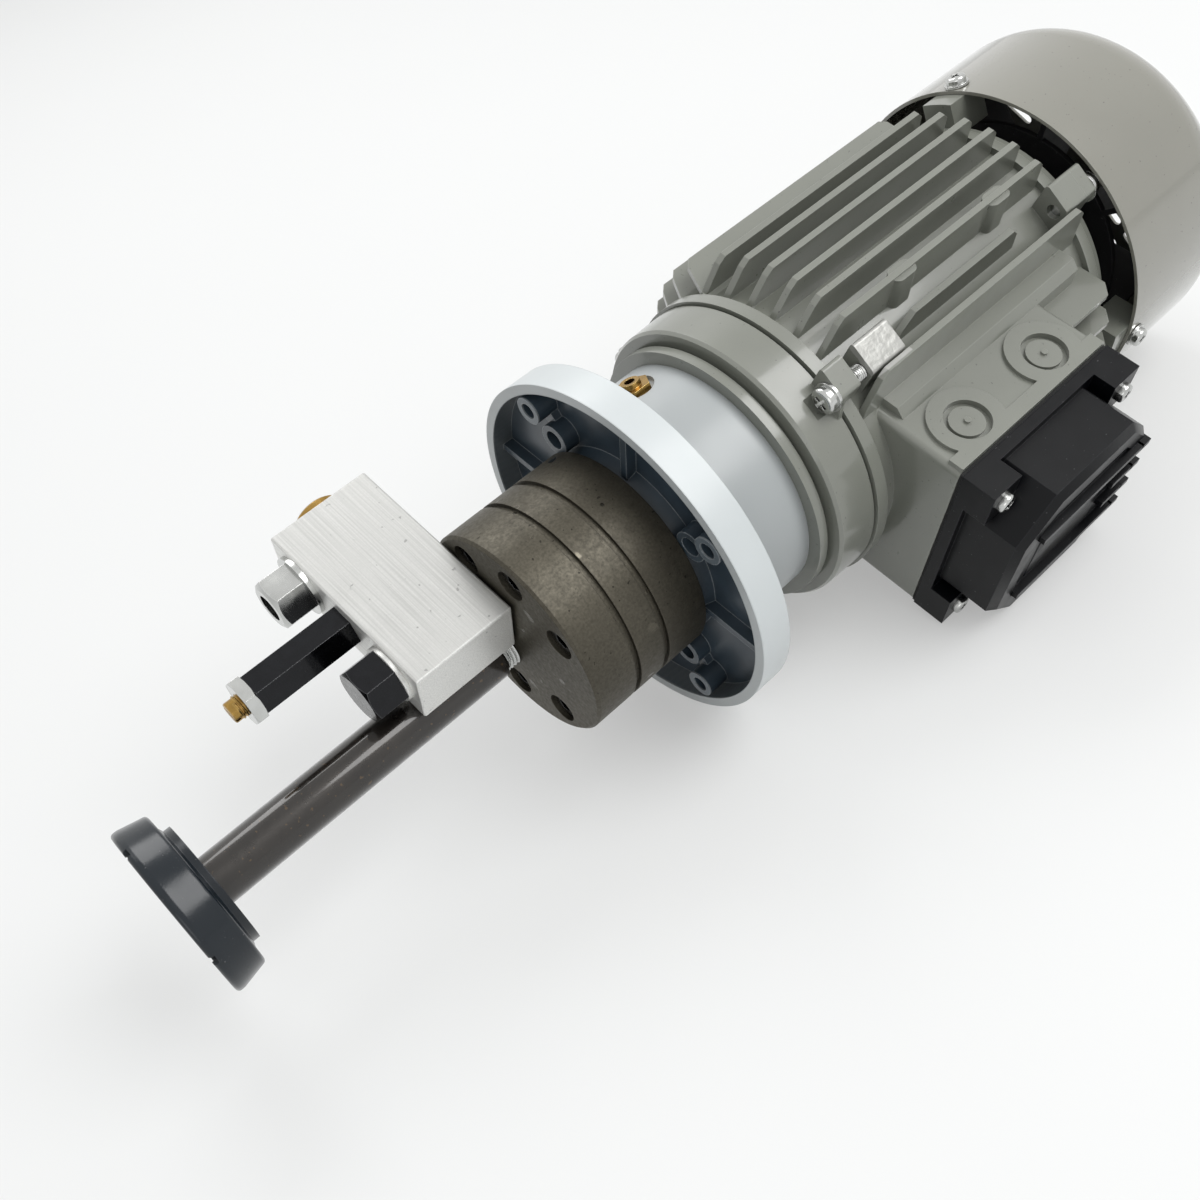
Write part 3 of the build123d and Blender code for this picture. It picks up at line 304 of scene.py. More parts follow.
def smooth(piece):
    """Shade a piece smooth where its faces meet at less than the crease angle."""
    deselect_all()
    bpy.context.view_layer.objects.active = piece
    piece.select_set(True)
    bpy.ops.object.shade_smooth_by_angle(angle=crease_angle)


def dress(piece, slot_name):
    """Give a new piece its slot and the finish of that slot."""
    piece.data.materials.clear()
    piece.data.materials.append(finishes[slot_name])
    smooth(piece)


def finish_piece(piece, body, slot_name, *replaced):
    """Dress a new rigid piece, let it ride on its CAD body, and hide the CAD nodes that it stands for."""
    dress(piece, slot_name)
    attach(piece, body)
    if replaced:
        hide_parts(*replaced)


# Shading helpers

def add(tree, kind, inputs=None, **settings):
    """Add one shader node; an input is a value, or an output socket of another node."""
    made = tree.nodes.new("ShaderNode" + kind)
    for name, value in settings.items():
        setattr(made, name, value)
    for name, value in (inputs or {}).items():
        if isinstance(value, bpy.types.NodeSocket):
            tree.links.new(value, made.inputs[name])
        else:
            made.inputs[name].default_value = value
    return made


def new_material(name):
    """An empty node material and the object coordinates that its patterns read."""
    material = bpy.data.materials.get(name) or bpy.data.materials.new(name)
    material.use_nodes = True
    tree = material.node_tree
    tree.nodes.clear()
    coordinates = add(tree, "TexCoord").outputs["Object"]
    return material, tree, coordinates


def close_material(tree, **inputs):
    """Join the surface shader to the output; underscores in the names stand for spaces."""
    named = {name.replace("_", " "): value for name, value in inputs.items()}
    shader = add(tree, "BsdfPrincipled", named)
    add(tree, "OutputMaterial", {"Surface": shader.outputs[0]})


def scaled(colour, share):
    """A colour with its light scaled: darker under a share of 1, and paler over it."""
    return tuple(channel * share for channel in colour[:3]) + (1.0,)


def patches(tree, coordinates, size_mm, low, high, soft=0.25, detail=3.0):
    """Cloudy patches of about one size, as a value between low and high."""
    cloud = add(tree, "TexNoise", {"Vector": coordinates, "Scale": 1000 / size_mm, "Detail": detail})
    ranged = add(tree, "MapRange", {"Value": cloud.outputs[0], "From Min": 0.5 - soft, "From Max": 0.5 + soft,
                                    "To Min": low, "To Max": high})
    return ranged.outputs[0]


def specks(tree, coordinates, size_mm, share):
    """Small scattered spots: 1 on a spot, 0 between them. A larger share gives more spots."""
    cloud = add(tree, "TexNoise", {"Vector": coordinates, "Scale": 1000 / size_mm, "Detail": 1.0})
    edge = 0.76 - share
    ranged = add(tree, "MapRange", {"Value": cloud.outputs[0], "From Min": edge, "From Max": edge + 0.05})
    return ranged.outputs[0]


def drawn_lines(tree, coordinates, along, width_mm, length_mm):
    """Fine lines that run along one axis, as a value about 0.5."""
    scale = [1000 / width_mm] * 3
    scale["XYZ".index(along)] = 1000 / length_mm
    stretched = add(tree, "Mapping", {"Vector": coordinates, "Scale": scale})
    return add(tree, "TexNoise", {"Vector": stretched.outputs[0], "Scale": 1.0, "Detail": 2.0}).outputs[0]


def tooth(tree, coordinates, size_mm, detail=2.0):
    """The fine unevenness of a skin, as a height about 0.5."""
    return patches(tree, coordinates, size_mm, 0.0, 1.0, 0.5, detail)


def raised(tree, height, depth_mm, strength=1.0, edge_mm=0.35):
    """Surface relief over edges that catch the light as slightly rounded ones do."""
    edge = add(tree, "Bevel", {"Radius": edge_mm * MM}, samples=4)
    return add(tree, "Bump", {"Height": height, "Distance": depth_mm * MM, "Strength": strength,
                              "Normal": edge.outputs[0]}).outputs[0]


def brinks(tree, width_mm):
    """1 on the brink of an outer edge or corner, and 0 on a flat or gently curved face."""
    rounded = add(tree, "Bevel", {"Radius": width_mm * MM}, samples=4).outputs[0]
    flat = add(tree, "NewGeometry").outputs["Normal"]
    match = add(tree, "VectorMath", {0: rounded, 1: flat}, operation="DOT_PRODUCT").outputs["Value"]
    return add(tree, "MapRange", {"Value": match, "From Min": 0.99, "From Max": 0.86}).outputs[0]


def inside(tree, *limits):
    """1 where each length lies between its own two limits, and 0 beyond them, with a soft border."""
    soft_mm = 0.2
    mask = 1.0
    for value, low_mm, high_mm in limits:
        for limit_mm, way in ((low_mm, 1), (high_mm, -1)):
            step = add(tree, "MapRange", {"Value": value, "From Min": (limit_mm - way * soft_mm) * MM,
                                          "From Max": (limit_mm + way * soft_mm) * MM}).outputs[0]
            mask = add(tree, "Math", {0: mask, 1: step}, operation="MULTIPLY").outputs[0]
    return mask


def coats(tree, ground, *layers):
    """Colours laid over a ground, one after the other, each by its mask and its share of that mask."""
    colour = ground
    for mask, share, coat in layers:
        cover = add(tree, "Math", {0: mask, 1: share}, operation="MULTIPLY").outputs[0]
        colour = add(tree, "Mix", {0: cover, 6: colour, 7: coat}, data_type="RGBA").outputs[2]
    return colour


# Finishes

def sprayed(tree, coordinates, colour, patch_mm):
    """The colour of a sprayed skin: slightly uneven, paler on its brinks from wear and from a painted
    highlight, with a few dust spots.
    """
    return coats(tree, scaled(colour, 0.94),
                 (patches(tree, coordinates, patch_mm, 0.0, 1.0), 1.0, colour),
                 # Paler brinks: partly wear, partly painted highlight
                 (brinks(tree, 0.5), patches(tree, coordinates, 3, 0.25, 0.75), scaled(colour, 1.6)),
                 (specks(tree, coordinates, 1.1, 0.02), 1.0, scaled(colour, 0.55)))


def cover_lacquer():
    """Gloss lacquer on deep-drawn sheet steel: an even, wet-looking skin with a sharp clear coat."""
    material, tree, coordinates = new_material("gloss_lacquer_on_deep_drawn_steel")
    close_material(tree, Base_Color=sprayed(tree, coordinates, colours().cover, 40), IOR=1.5,
                   Roughness=patches(tree, coordinates, 9, 0.15, 0.26), Coat_Weight=1.0, Coat_Roughness=0.04,
                   Normal=raised(tree, tooth(tree, coordinates, 0.9), 0.02, 0.5))
    return material


def motor_lacquer():
    """Satin lacquer on cast aluminium; the top of one front lug is rubbed to bright, crinkled metal."""
    material, tree, coordinates = new_material("satin_lacquer_on_cast_aluminium")
    turned = add(tree, "Mapping", {"Vector": coordinates, "Rotation": (-lug_angle, 0, 0)}).outputs[0]
    axes = add(tree, "SeparateXYZ", {"Vector": turned}).outputs
    ragged = patches(tree, coordinates, 5, -0.9 * MM, 0.9 * MM)
    height = add(tree, "Math", {0: axes["Y"], 1: ragged}, operation="ADD").outputs[0]
    rubbed = inside(tree, (height, *rubbed_heights), (axes["Z"], *rubbed_sides), (axes["X"], *rubbed_ends))
    tone = coats(tree, sprayed(tree, coordinates, colours().motor, 22), (rubbed, 1.0, linear("#a6a6a2")))
    lacquered = patches(tree, coordinates, 9, 0.27, 0.38)
    rough = add(tree, "Mix", {0: rubbed, 2: lacquered, 3: 0.3}).outputs[0]
    crinkle = patches(tree, coordinates, 2.6, 0.0, 6.0)
    relief = add(tree, "Mix", {0: rubbed, 2: tooth(tree, coordinates, 0.9), 3: crinkle}).outputs[0]
    metal = add(tree, "Math", {0: rubbed, 1: 0.4}, operation="MULTIPLY").outputs[0]
    close_material(tree, Base_Color=tone, Metallic=metal, Roughness=rough, IOR=1.5,
                   Coat_Weight=0.7, Coat_Roughness=0.1, Normal=raised(tree, relief, 0.03, 0.6))
    return material


def flange_lacquer():
    """Pale satin lacquer, darker on the bell, with painted shade on its front face; inside the ring, behind
    its front faces, the casting is painted dark blue-grey, partly its own dark colour and partly painted
    shade of the deep recess.
    """
    material, tree, coordinates = new_material("satin_lacquer_on_die_cast_aluminium")
    outer = colours().flange
    inner_colour_and_shade = colours().flange_inside_and_shade
    axes = add(tree, "SeparateXYZ", {"Vector": coordinates}).outputs
    across = add(tree, "CombineXYZ", {"Y": axes["Y"], "Z": axes["Z"]}).outputs[0]
    radius = add(tree, "VectorMath", {0: across}, operation="LENGTH").outputs["Value"]
    within = (radius, -1, ring_inner_mm)
    face = (axes["X"], -1, 0.3)
    clouds = patches(tree, coordinates, 8, 0.0, 1.0)
    # Painted shade and dark colour inside the ring, clouded
    clouded_inner_colour_and_shade = coats(tree, scaled(inner_colour_and_shade, 0.7), (clouds, 1.0, inner_colour_and_shade))
    tone = coats(tree, scaled(outer, 0.95),
                 (patches(tree, coordinates, 25, 0.0, 1.0), 1.0, outer),
                 (inside(tree, (axes["X"], ring_end_mm, 60)), 1.0, scaled(outer, 0.63)),
                 # Painted shade: the flange's front face, which looks sideways, is painted darker
                 (inside(tree, face), 0.4, scaled(outer, 0.45)),
                 # Inside the ring: painted shade and dark colour behind the front faces, a lighter grey on
                 # the front faces there
                 (inside(tree, within, (axes["X"], 0.4, ring_end_mm)), 1.0, clouded_inner_colour_and_shade),
                 (inside(tree, within, face), 1.0, linear("#586168")),
                 # Paler brinks: partly wear, partly painted highlight
                 (brinks(tree, 0.5), 0.4, scaled(outer, 1.15)))
    close_material(tree, Base_Color=tone, Roughness=patches(tree, coordinates, 10, 0.30, 0.40), IOR=1.5,
                   Coat_Weight=0.15, Coat_Roughness=0.25,
                   Normal=raised(tree, tooth(tree, coordinates, 0.9), 0.02, 0.5))
    return material


def pump_steel():
    """Turned steel under a film of oil: dark and brownish, finely grained, with a few wet spots."""
    material, tree, coordinates = new_material("oiled_turned_steel")
    colour = colours().pump
    tone = coats(tree, scaled(colour, 0.78),
                 (patches(tree, coordinates, 18, 0.0, 1.0), 1.0, colour),
                 (patches(tree, coordinates, 0.8, 0.0, 1.0, 0.2), 0.5, scaled(colour, 0.45)),
                 (specks(tree, coordinates, 1.4, 0.04), 1.0, scaled(colour, 0.3)))
    wet = specks(tree, coordinates, 6, 0.06)
    rough = add(tree, "Mix", {0: wet, 2: patches(tree, coordinates, 1.6, 0.46, 0.66), 3: 0.2}).outputs[0]
    rings = drawn_lines(tree, coordinates, "Y", 0.5, 60)
    relief = add(tree, "Mix", {0: 0.65, 2: rings, 3: tooth(tree, coordinates, 0.6, 3.0)}).outputs[0]
    close_material(tree, Base_Color=tone, Metallic=1.0, Roughness=rough, Coat_Weight=0.1, Coat_Roughness=0.3,
                   Normal=raised(tree, relief, 0.05, 0.7))
    return material


def block_aluminium():
    """Bare extruded aluminium: pale sawn sides and a top painted darker as painted shade, with faint lines
    along the bar.
    """
    material, tree, coordinates = new_material("bare_extruded_aluminium")
    colour = colours().block
    lines = drawn_lines(tree, coordinates, "Y", 0.5, 45)
    streaks = add(tree, "MapRange", {"Value": lines, "From Min": 0.33, "From Max": 0.67}).outputs[0]
    # Painted shade: faces turned up are painted darker than the sides
    normal = add(tree, "NewGeometry").outputs["Normal"]
    facing = add(tree, "SeparateXYZ", {"Vector": normal}).outputs["Z"]
    top = add(tree, "MapRange", {"Value": facing, "From Min": 0.5, "From Max": 0.9}).outputs[0]
    tone = coats(tree, scaled(colour, 0.8),
                 (streaks, 1.0, colour),
                 (patches(tree, coordinates, 0.7, 0.0, 1.0), 0.35, scaled(colour, 0.72)),
                 (specks(tree, coordinates, 2.0, 0.03), 1.0, scaled(colour, 0.55)),
                 (top, 0.4, linear("#3c3c3a")))
    relief = add(tree, "Mix", {0: 0.5, 2: lines, 3: tooth(tree, coordinates, 0.6)}).outputs[0]
    close_material(tree, Base_Color=tone, Metallic=0.75, Roughness=patches(tree, coordinates, 8, 0.40, 0.52),
                   Normal=raised(tree, relief, 0.03, 0.35, 0.5))
    return material


def plated_or_bare_metal(name, code, worn_and_lit_edge, gloss, patch_mm=4, relief_mm=0.02, coat=0.0):
    """A bare, plated or blackened metal skin with uneven gloss, a fine tooth and pale edges, partly wear and
    partly painted highlight.
    """
    material, tree, coordinates = new_material(name)
    colour = linear(code)
    tone = coats(tree, scaled(colour, 0.75),
                 (patches(tree, coordinates, patch_mm, 0.0, 1.0), 1.0, colour),
                 # Pale edges: partly wear, partly painted highlight
                 (brinks(tree, 0.35), 0.45, linear(worn_and_lit_edge)))
    rough = patches(tree, coordinates, patch_mm * 0.6, gloss - 0.07, gloss + 0.08)
    close_material(tree, Base_Color=tone, Metallic=1.0, Roughness=rough, Coat_Weight=coat, Coat_Roughness=0.1,
                   Normal=raised(tree, tooth(tree, coordinates, 0.7), relief_mm, 0.5, 0.25))
    return material


def pipe_steel():
    """Drawn steel pipe under wet oil: almost black, with a sharp streak of light and brown blotches."""
    material, tree, coordinates = new_material("oiled_drawn_steel")
    colour = colours().pipe
    tone = coats(tree, scaled(colour, 0.55),
                 (patches(tree, coordinates, 12, 0.0, 1.0), 1.0, colour),
                 (specks(tree, coordinates, 1.6, 0.07), 1.0, linear("#4a3a26")))
    close_material(tree, Base_Color=tone, Metallic=0.6, Roughness=patches(tree, coordinates, 3, 0.22, 0.42),
                   Coat_Weight=1.0, Coat_Roughness=0.07,
                   Normal=raised(tree, tooth(tree, coordinates, 1.3, 3.0), 0.05, 0.6))
    return material


def moulded_plastic(name, colour, gloss, dust_share=0.02, shine=0.5):
    """Injection-moulded plastic: an even skin with a fine mould grain, a painted highlight on its edges and a
    little dust.
    """
    material, tree, coordinates = new_material(name)
    tone = coats(tree, colour,
                 # Painted highlight: the brinks are painted paler
                 (brinks(tree, 0.4), 0.4, linear("#3c3d42")),
                 (specks(tree, coordinates, 0.9, dust_share), 1.0, linear("#4a4a4c")))
    close_material(tree, Base_Color=tone, Roughness=patches(tree, coordinates, 7, gloss - 0.05, gloss + 0.07),
                   IOR=1.45, Specular_IOR_Level=shine,
                   Normal=raised(tree, tooth(tree, coordinates, 0.7, 1.0), 0.02, 0.5, 0.4))
    return material


def laminated_steel():
    """Stacked sheet steel: soft dark bands round the stack, far wider than its sheets, so that they show."""
    material, tree, coordinates = new_material("laminated_electrical_steel")
    sheets = add(tree, "TexWave", {"Vector": coordinates, "Scale": lamination_scale, "Distortion": 0.0},
                 wave_type="BANDS", bands_direction="X").outputs[1]
    tone = coats(tree, linear("#3c3d40"), (sheets, 1.0, linear("#77797c")))
    close_material(tree, Base_Color=tone, Metallic=1.0, Roughness=0.45,
                   Normal=raised(tree, sheets, 0.05, 0.5))
    return material


def lacquered_copper():
    """Enamelled copper wire tied in a coil head: reddish, with the strands as fine ridges."""
    material, tree, coordinates = new_material("enamelled_copper_wire")
    strands = drawn_lines(tree, coordinates, "Y", 1.2, 14)
    tone = coats(tree, linear("#5b2413"), (strands, 1.0, linear("#b86b3c")))
    close_material(tree, Base_Color=tone, Metallic=0.7, Roughness=0.35, Coat_Weight=0.5,
                   Normal=raised(tree, strands, 0.4, 0.8))
    return material


def make_materials():
    """Each slot of the record with its finish."""
    chosen = colours()
    return {
        "flange_paint": flange_lacquer(),
        "motor_paint": motor_lacquer(),
        "cover_paint": cover_lacquer(),
        "pump_steel": pump_steel(),
        "block_aluminium": block_aluminium(),
        "oiled_steel": pipe_steel(),
        "black_steel": plated_or_bare_metal("black_oxide_steel", "#1b1c1f", "#8b8c8e", 0.28, coat=0.4),
        "zinc_steel": plated_or_bare_metal("zinc_plated_steel", "#cbccca", "#f0f0ee", 0.17, 9, 0.008),
        "ground_steel": plated_or_bare_metal("ground_steel", "#b4b4b2", "#dededc", 0.22),
        "spring_steel": plated_or_bare_metal("drawn_spring_steel", "#8d8e90", "#a9aaac", 0.3),
        "core_steel": laminated_steel(),
        "copper": lacquered_copper(),
        "brass": plated_or_bare_metal("turned_brass", "#ac8a4c", "#e2c888", 0.24),
        "bronze": plated_or_bare_metal("sintered_bronze", "#8d6a3c", "#a98452", 0.5, relief_mm=0.08),
        "strainer_plastic": moulded_plastic("moulded_nylon", chosen.strainer, 0.2),
        "terminal_plastic": moulded_plastic("moulded_abs", chosen.terminal, 0.34, 0.01, 0.25),
        "board_plastic": moulded_plastic("moulded_phenolic", linear("#3a2218"), 0.5),
        "fan_plastic": moulded_plastic("moulded_polypropylene", linear("#1b1b1c"), 0.5),
        "rubber": moulded_plastic("moulded_nitrile_rubber", linear("#141414"), 0.7),
    }


finishes = {}


class PUMP_OT_dress_castings(bpy.types.Operator):
    """Make every finish and put it on the CAD pieces"""
    bl_idname = "pump.dress_castings"
    bl_label = "Dress the CAD pieces"

    def execute(self, context):
        finishes.update(make_materials())
        for entry in frame["record"]["subparts"]:
            node = nodes[entry["node"]]
            node.material_slots[0].material = finishes[entry["material_slot"]]
        return {"FINISHED"}


class PUMP_OT_pipe_thread(bpy.types.Operator):
    """Wind the short bright thread on the suction pipe where it enters the pump"""
    bl_idname = "pump.pipe_thread"
    bl_label = "Pipe thread"

    def execute(self, context):
        pitch = sizes().pipe_thread_pitch
        radius = sizes().pipe_thread_radius
        axis = middle("suction_pipe")
        ridge = helix(pitch * 0.5, 4, radius - pitch * 0.5, pitch, pipe_thread_length)
        settle(ridge, (pump_low.x - pipe_thread_length - pipe_thread_gap, axis.y, axis.z))
        piece = join("pipe_thread", [ridge])
        finish_piece(piece, "housing", "zinc_steel")
        return {"FINISHED"}


class PUMP_OT_tie_threads(bpy.types.Operator):
    """Give the three tie screws the thread that shows between the two lugs"""
    bl_idname = "pump.tie_threads"
    bl_label = "Tie screw threads"

    def execute(self, context):
        pitch = sizes().screw_thread_pitch
        for number in range(lug_count):
            angle = lug_angle + 2 * pi / lug_count * number
            ridge = helix(pitch * 0.5, 4, tie_thread_radius, pitch, lug_gap, 20)
            settle(ridge, (lug_gap_start, tie_circle * cos(angle), tie_circle * sin(angle)))
            piece = join("tie_screw_thread_%d" % (number + 1), [ridge])
            finish_piece(piece, "housing", "zinc_steel")
        return {"FINISHED"}


class PUMP_OT_adjusting_screw(bpy.types.Operator):
    """Model the slotted brass adjusting screw with its thread"""
    bl_idname = "pump.adjusting_screw"
    bl_label = "Adjusting screw"

    def execute(self, context):
        pitch = sizes().adjuster_pitch
        length = adjuster_high.x - adjuster_low.x
        radius = (adjuster_high.y - adjuster_low.y) / 2
        axis = middle("relief_adjuster")
        core = radius - pitch * 0.45
        deselect_all()
        bpy.ops.mesh.primitive_cylinder_add(vertices=40, radius=core, depth=length, rotation=(0, pi / 2, 0))
        shank = bpy.context.object
        bpy.ops.object.transform_apply(location=False, rotation=True, scale=False)
        begin_edit(shank)
        bpy.ops.mesh.select_mode(type="FACE")
        end_edit()
        for face in shank.data.polygons:
            face.select = abs(face.normal.x) > 0.9
        bpy.ops.object.mode_set(mode="EDIT")
        bpy.ops.mesh.bevel(offset=adjuster_rounding, segments=2, affect="EDGES")
        end_edit()
        bpy.ops.mesh.primitive_cube_add(size=1, location=(-length / 2, 0, 0))
        cutter = bpy.context.object
        cutter.scale = (2 * slot_depth, 4 * radius, slot_width)
        apply_modifier(shank, "BOOLEAN", operation="DIFFERENCE", object=cutter, solver="EXACT")
        bpy.data.objects.remove(cutter)
        ridge = helix(pitch * 0.5, 4, radius - pitch * 0.5, pitch, length - slot_depth - 2 * pitch)
        settle(ridge, (slot_depth + pitch * 0.7 - length / 2, 0, 0))
        piece = join("adjusting_screw", [shank, ridge])
        settle(piece, axis)
        finish_piece(piece, "adjuster", "brass", "relief_adjuster")
        return {"FINISHED"}


class PUMP_OT_relief_spring(bpy.types.Operator):
    """Wind the relief spring from round wire, in two halves that meet in its middle"""
    bl_idname = "pump.relief_spring"
    bl_label = "Relief spring"

    def execute(self, context):
        wire = sizes().spring_wire
        axis = middle("relief_spring")
        track = (spring_high.y - spring_low.y) / 2 - wire / 2
        length = (spring_high.x - spring_low.x - wire) / 2
        pitch = length / sizes().spring_half_turns
        outer_start = spring_low.x + wire / 2
        halves = (("wound_spring_outer_half", outer_start, "spring_seat", spring_low.x),
                  ("wound_spring_inner_half", axis.x, "poppet", spring_high.x))
        for name, start, body, held_end in halves:
            coil = helix(wire / 2, 10, track, pitch, length)
            settle(coil, (start, axis.y, axis.z))
            piece = join(name, [coil])
            dress(piece, "spring_steel")
            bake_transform(piece)
            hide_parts("relief_spring")
        return {"FINISHED"}


class PUMP_OT_woven_screen(bpy.types.Operator):
    """Weave the strainer's wire screen"""
    bl_idname = "pump.woven_screen"
    bl_label = "Woven screen"

    def execute(self, context):
        cells = sizes().screen_cells
        wire = sizes().screen_wire
        radius = (screen_high.y - screen_low.y) / 2
        place = middle("strainer_screen")
        deselect_all()
        bpy.ops.mesh.primitive_grid_add(x_subdivisions=cells, y_subdivisions=cells, size=2 * radius,
                                        rotation=(0, pi / 2, 0))
        screen = bpy.context.object
        bpy.ops.object.transform_apply(location=False, rotation=True, scale=False)
        begin_edit(screen)
        bpy.ops.mesh.select_mode(type="VERT")
        end_edit()
        for vertex in screen.data.vertices:
            vertex.select = (vertex.co.y ** 2 + vertex.co.z ** 2) ** 0.5 > radius - wire
        bpy.ops.object.mode_set(mode="EDIT")
        bpy.ops.mesh.delete(type="VERT")
        end_edit()
        step = 2 * radius / cells
        for vertex in screen.data.vertices:
            column = round((vertex.co.y + radius) / step)
            row = round((vertex.co.z + radius) / step)
            vertex.select = (column + row) % 2 == 0
        bpy.ops.object.mode_set(mode="EDIT")
        bpy.ops.transform.translate(value=(wire * 0.35, 0, 0))
        end_edit()
        apply_modifier(screen, "WIREFRAME", thickness=wire, use_even_offset=True, use_replace=True)
        settle(screen, place)
        piece = join("woven_wire_screen", [screen])
        finish_piece(piece, "housing", "ground_steel", "strainer_screen")
        return {"FINISHED"}


class PUMP_OT_terminal_crown(bpy.types.Operator):
    """Shorten the middle ribs of the terminal cover round the smooth field in its crown"""
    bl_idname = "pump.terminal_crown"
    bl_label = "Terminal cover crown"

    def execute(self, context):
        cover = nodes["terminal_cover"].copy()
        cover.data = cover.data.copy()
        context.scene.collection.objects.link(cover)
        begin_edit(cover)
        bpy.ops.mesh.select_all(action="SELECT")
        bpy.ops.mesh.remove_doubles(threshold=merge_distance)
        end_edit()
        bpy.ops.mesh.customdata_custom_splitnormals_clear()
        low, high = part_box("terminal_cover")
        centre = (low.z + high.z) / 2
        left = low.x + cleared_left
        right = high.x - cleared_right
        panel = low.y + rib_height + panel_depth
        cutter = block((left, low.y - MM, centre - cleared_half), (right, panel, centre + cleared_half))
        apply_modifier(cover, "BOOLEAN", operation="DIFFERENCE", object=cutter, solver="EXACT")
        bpy.data.objects.remove(cutter)
        tails = []
        for number in range(rib_count):
            z = centre + ((rib_count - 1) / 2 - number) * rib_pitch
            start = (high.x - tail_start, low.y, z - rib_half)
            tails.append(block(start, (high.x - tail_end, panel + MM, z + rib_half)))
        field = block((left + field_left, panel - field_height, centre - field_half),
                      (right - field_right, panel + field_root, centre + field_half))
        apply_modifier(field, "BEVEL", width=field_rounding, segments=2)
        piece = join("ribbed_terminal_cover", [cover, field] + tails)
        finish_piece(piece, "housing", "terminal_plastic", "terminal_cover")
        return {"FINISHED"}


def floor_normal():
    """Straight up from the surface that the pump lies on."""
    return Vector((0, sin(floor_lean), cos(floor_lean)))


def seen_rays(tree):
    """1 for the rays that show the ground as white: from the camera, and off or through a glossy piece."""
    path = add(tree, "LightPath").outputs
    seen = path["Is Camera Ray"]
    for ray in ("Is Glossy Ray", "Is Transmission Ray"):
        seen = add(tree, "Math", {0: seen, 1: path[ray]}, operation="MAXIMUM").outputs[0]
    return seen


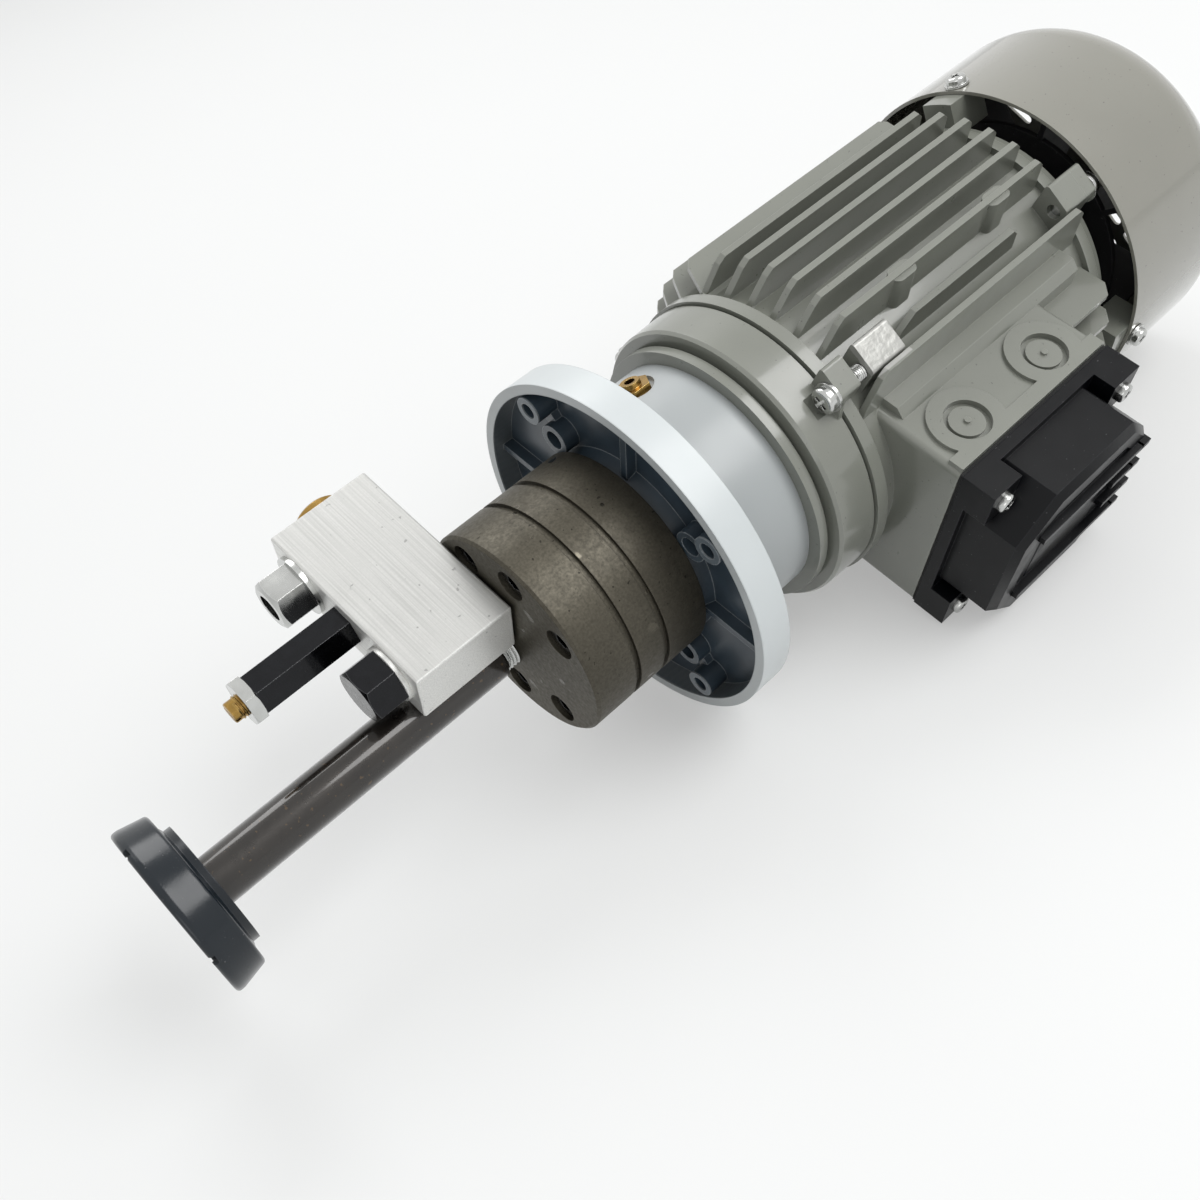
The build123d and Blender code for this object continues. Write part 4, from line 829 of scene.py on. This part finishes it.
class PUMP_OT_stage(bpy.types.Operator):
    """Lay the pale floor and set up the lights and the camera"""
    bl_idname = "pump.stage"
    bl_label = "Stage"

    def execute(self, context):
        self.lay_floor()
        self.light_world(context)
        for name, direction, distance, size, power in lamps:
            self.hang_light(name, Vector(direction).normalized() * distance, size, power)
        self.place_camera(context)
        return {"FINISHED"}

    def lay_floor(self):
        up = floor_normal()
        deselect_all()
        bpy.ops.mesh.primitive_plane_add(size=floor_size)
        floor = bpy.context.object
        floor.name = "floor"
        turned = Vector((0, 0, 1)).rotation_difference(up).to_matrix().to_4x4()
        floor.matrix_world = Matrix.Translation(-up * floor_distance) @ turned
        material, tree, coordinates = new_material("matt_white_paper")
        clouds = patches(tree, coordinates, 400, 0.0, 1.0)
        paper = coats(tree, scaled(colours().floor, 0.98), (clouds, 1.0, colours().floor))
        lit = add(tree, "BsdfPrincipled", {"Base Color": paper, "Roughness": 0.9,
                                           "Specular IOR Level": 0.2}).outputs[0]
        white = add(tree, "Emission", {"Color": linear(white_ground), "Strength": 1.0}).outputs[0]
        share = add(tree, "Math", {0: seen_rays(tree), 1: floor_whiteness}, operation="MULTIPLY").outputs[0]
        both = add(tree, "MixShader", {0: share, 1: lit, 2: white}).outputs[0]
        add(tree, "OutputMaterial", {"Surface": both})
        floor.data.materials.append(material)

    def light_world(self, context):
        world = bpy.data.worlds.new("studio")
        context.scene.world = world
        world.use_nodes = True
        tree = world.node_tree
        tree.nodes.clear()
        way = add(tree, "TexCoord").outputs["Generated"]
        up = floor_normal()
        height = add(tree, "VectorMath", {0: way, 1: up}, operation="DOT_PRODUCT").outputs["Value"]
        sky = add(tree, "MapRange", {"Value": height, "From Min": 0.05, "From Max": 0.9,
                                     "To Min": 0.12, "To Max": 1.0}).outputs[0]
        soft = add(tree, "Background", {"Color": linear("#f5f6f6"), "Strength": sky}).outputs[0]
        white = add(tree, "Background", {"Color": linear(white_ground), "Strength": 1.0}).outputs[0]
        both = add(tree, "MixShader", {0: seen_rays(tree), 1: soft, 2: white}).outputs[0]
        add(tree, "OutputWorld", {"Surface": both})

    def hang_light(self, name, place, size, power):
        deselect_all()
        bpy.ops.object.light_add(type="AREA", location=place)
        light = bpy.context.object
        light.name = name
        light.data.shape = "DISK"
        light.data.size = size
        light.data.energy = power
        light.rotation_euler = (-place).to_track_quat("-Z", "Y").to_euler()

    def place_camera(self, context):
        bpy.ops.object.camera_add(location=camera_place)
        camera = bpy.context.object
        ahead = Vector(camera_ahead).normalized()
        side = ahead.cross(Vector(camera_up)).normalized()
        top = side.cross(ahead)
        turned = Matrix((side, top, -ahead)).transposed().to_4x4()
        camera.matrix_world = Matrix.Translation(Vector(camera_place)) @ turned
        camera.data.lens = camera_lens
        camera.data.sensor_width = camera_sensor
        camera.data.clip_start = 0.01
        context.scene.camera = camera
        context.scene.view_settings.view_transform = "Standard"


class PUMP_PT_panel(bpy.types.Panel):
    """The sizes, the colours and the steps that dress the pump"""
    bl_label = "Lubrication pump"
    bl_idname = "PUMP_PT_panel"
    bl_space_type = "VIEW_3D"
    bl_region_type = "UI"
    bl_category = "Pump"

    def draw(self, context):
        for group in (context.scene.pump_sizes, context.scene.pump_colours):
            box = self.layout.box()
            for name in group.__annotations__:
                box.prop(group, name)
        for operator in operators:
            self.layout.operator(operator.bl_idname)


operators = (
    PUMP_OT_dress_castings,
    PUMP_OT_pipe_thread,
    PUMP_OT_tie_threads,
    PUMP_OT_adjusting_screw,
    PUMP_OT_relief_spring,
    PUMP_OT_woven_screen,
    PUMP_OT_terminal_crown,
    PUMP_OT_stage,
)
classes = (PumpSizes, PumpColours) + operators + (PUMP_PT_panel,)


def register():
    for item in classes:
        bpy.utils.register_class(item)
    bpy.types.Scene.pump_sizes = PointerProperty(type=PumpSizes)
    bpy.types.Scene.pump_colours = PointerProperty(type=PumpColours)


def unregister():
    del bpy.types.Scene.pump_colours
    del bpy.types.Scene.pump_sizes
    for item in reversed(classes):
        bpy.utils.unregister_class(item)


def main():
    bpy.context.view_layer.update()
    register()
    bpy.ops.pump.dress_castings()
    bpy.ops.pump.pipe_thread()
    bpy.ops.pump.tie_threads()
    bpy.ops.pump.adjusting_screw()
    bpy.ops.pump.relief_spring()
    bpy.ops.pump.woven_screen()
    bpy.ops.pump.terminal_crown()
    bpy.ops.pump.stage()


if __name__ == "__main__":
    main()
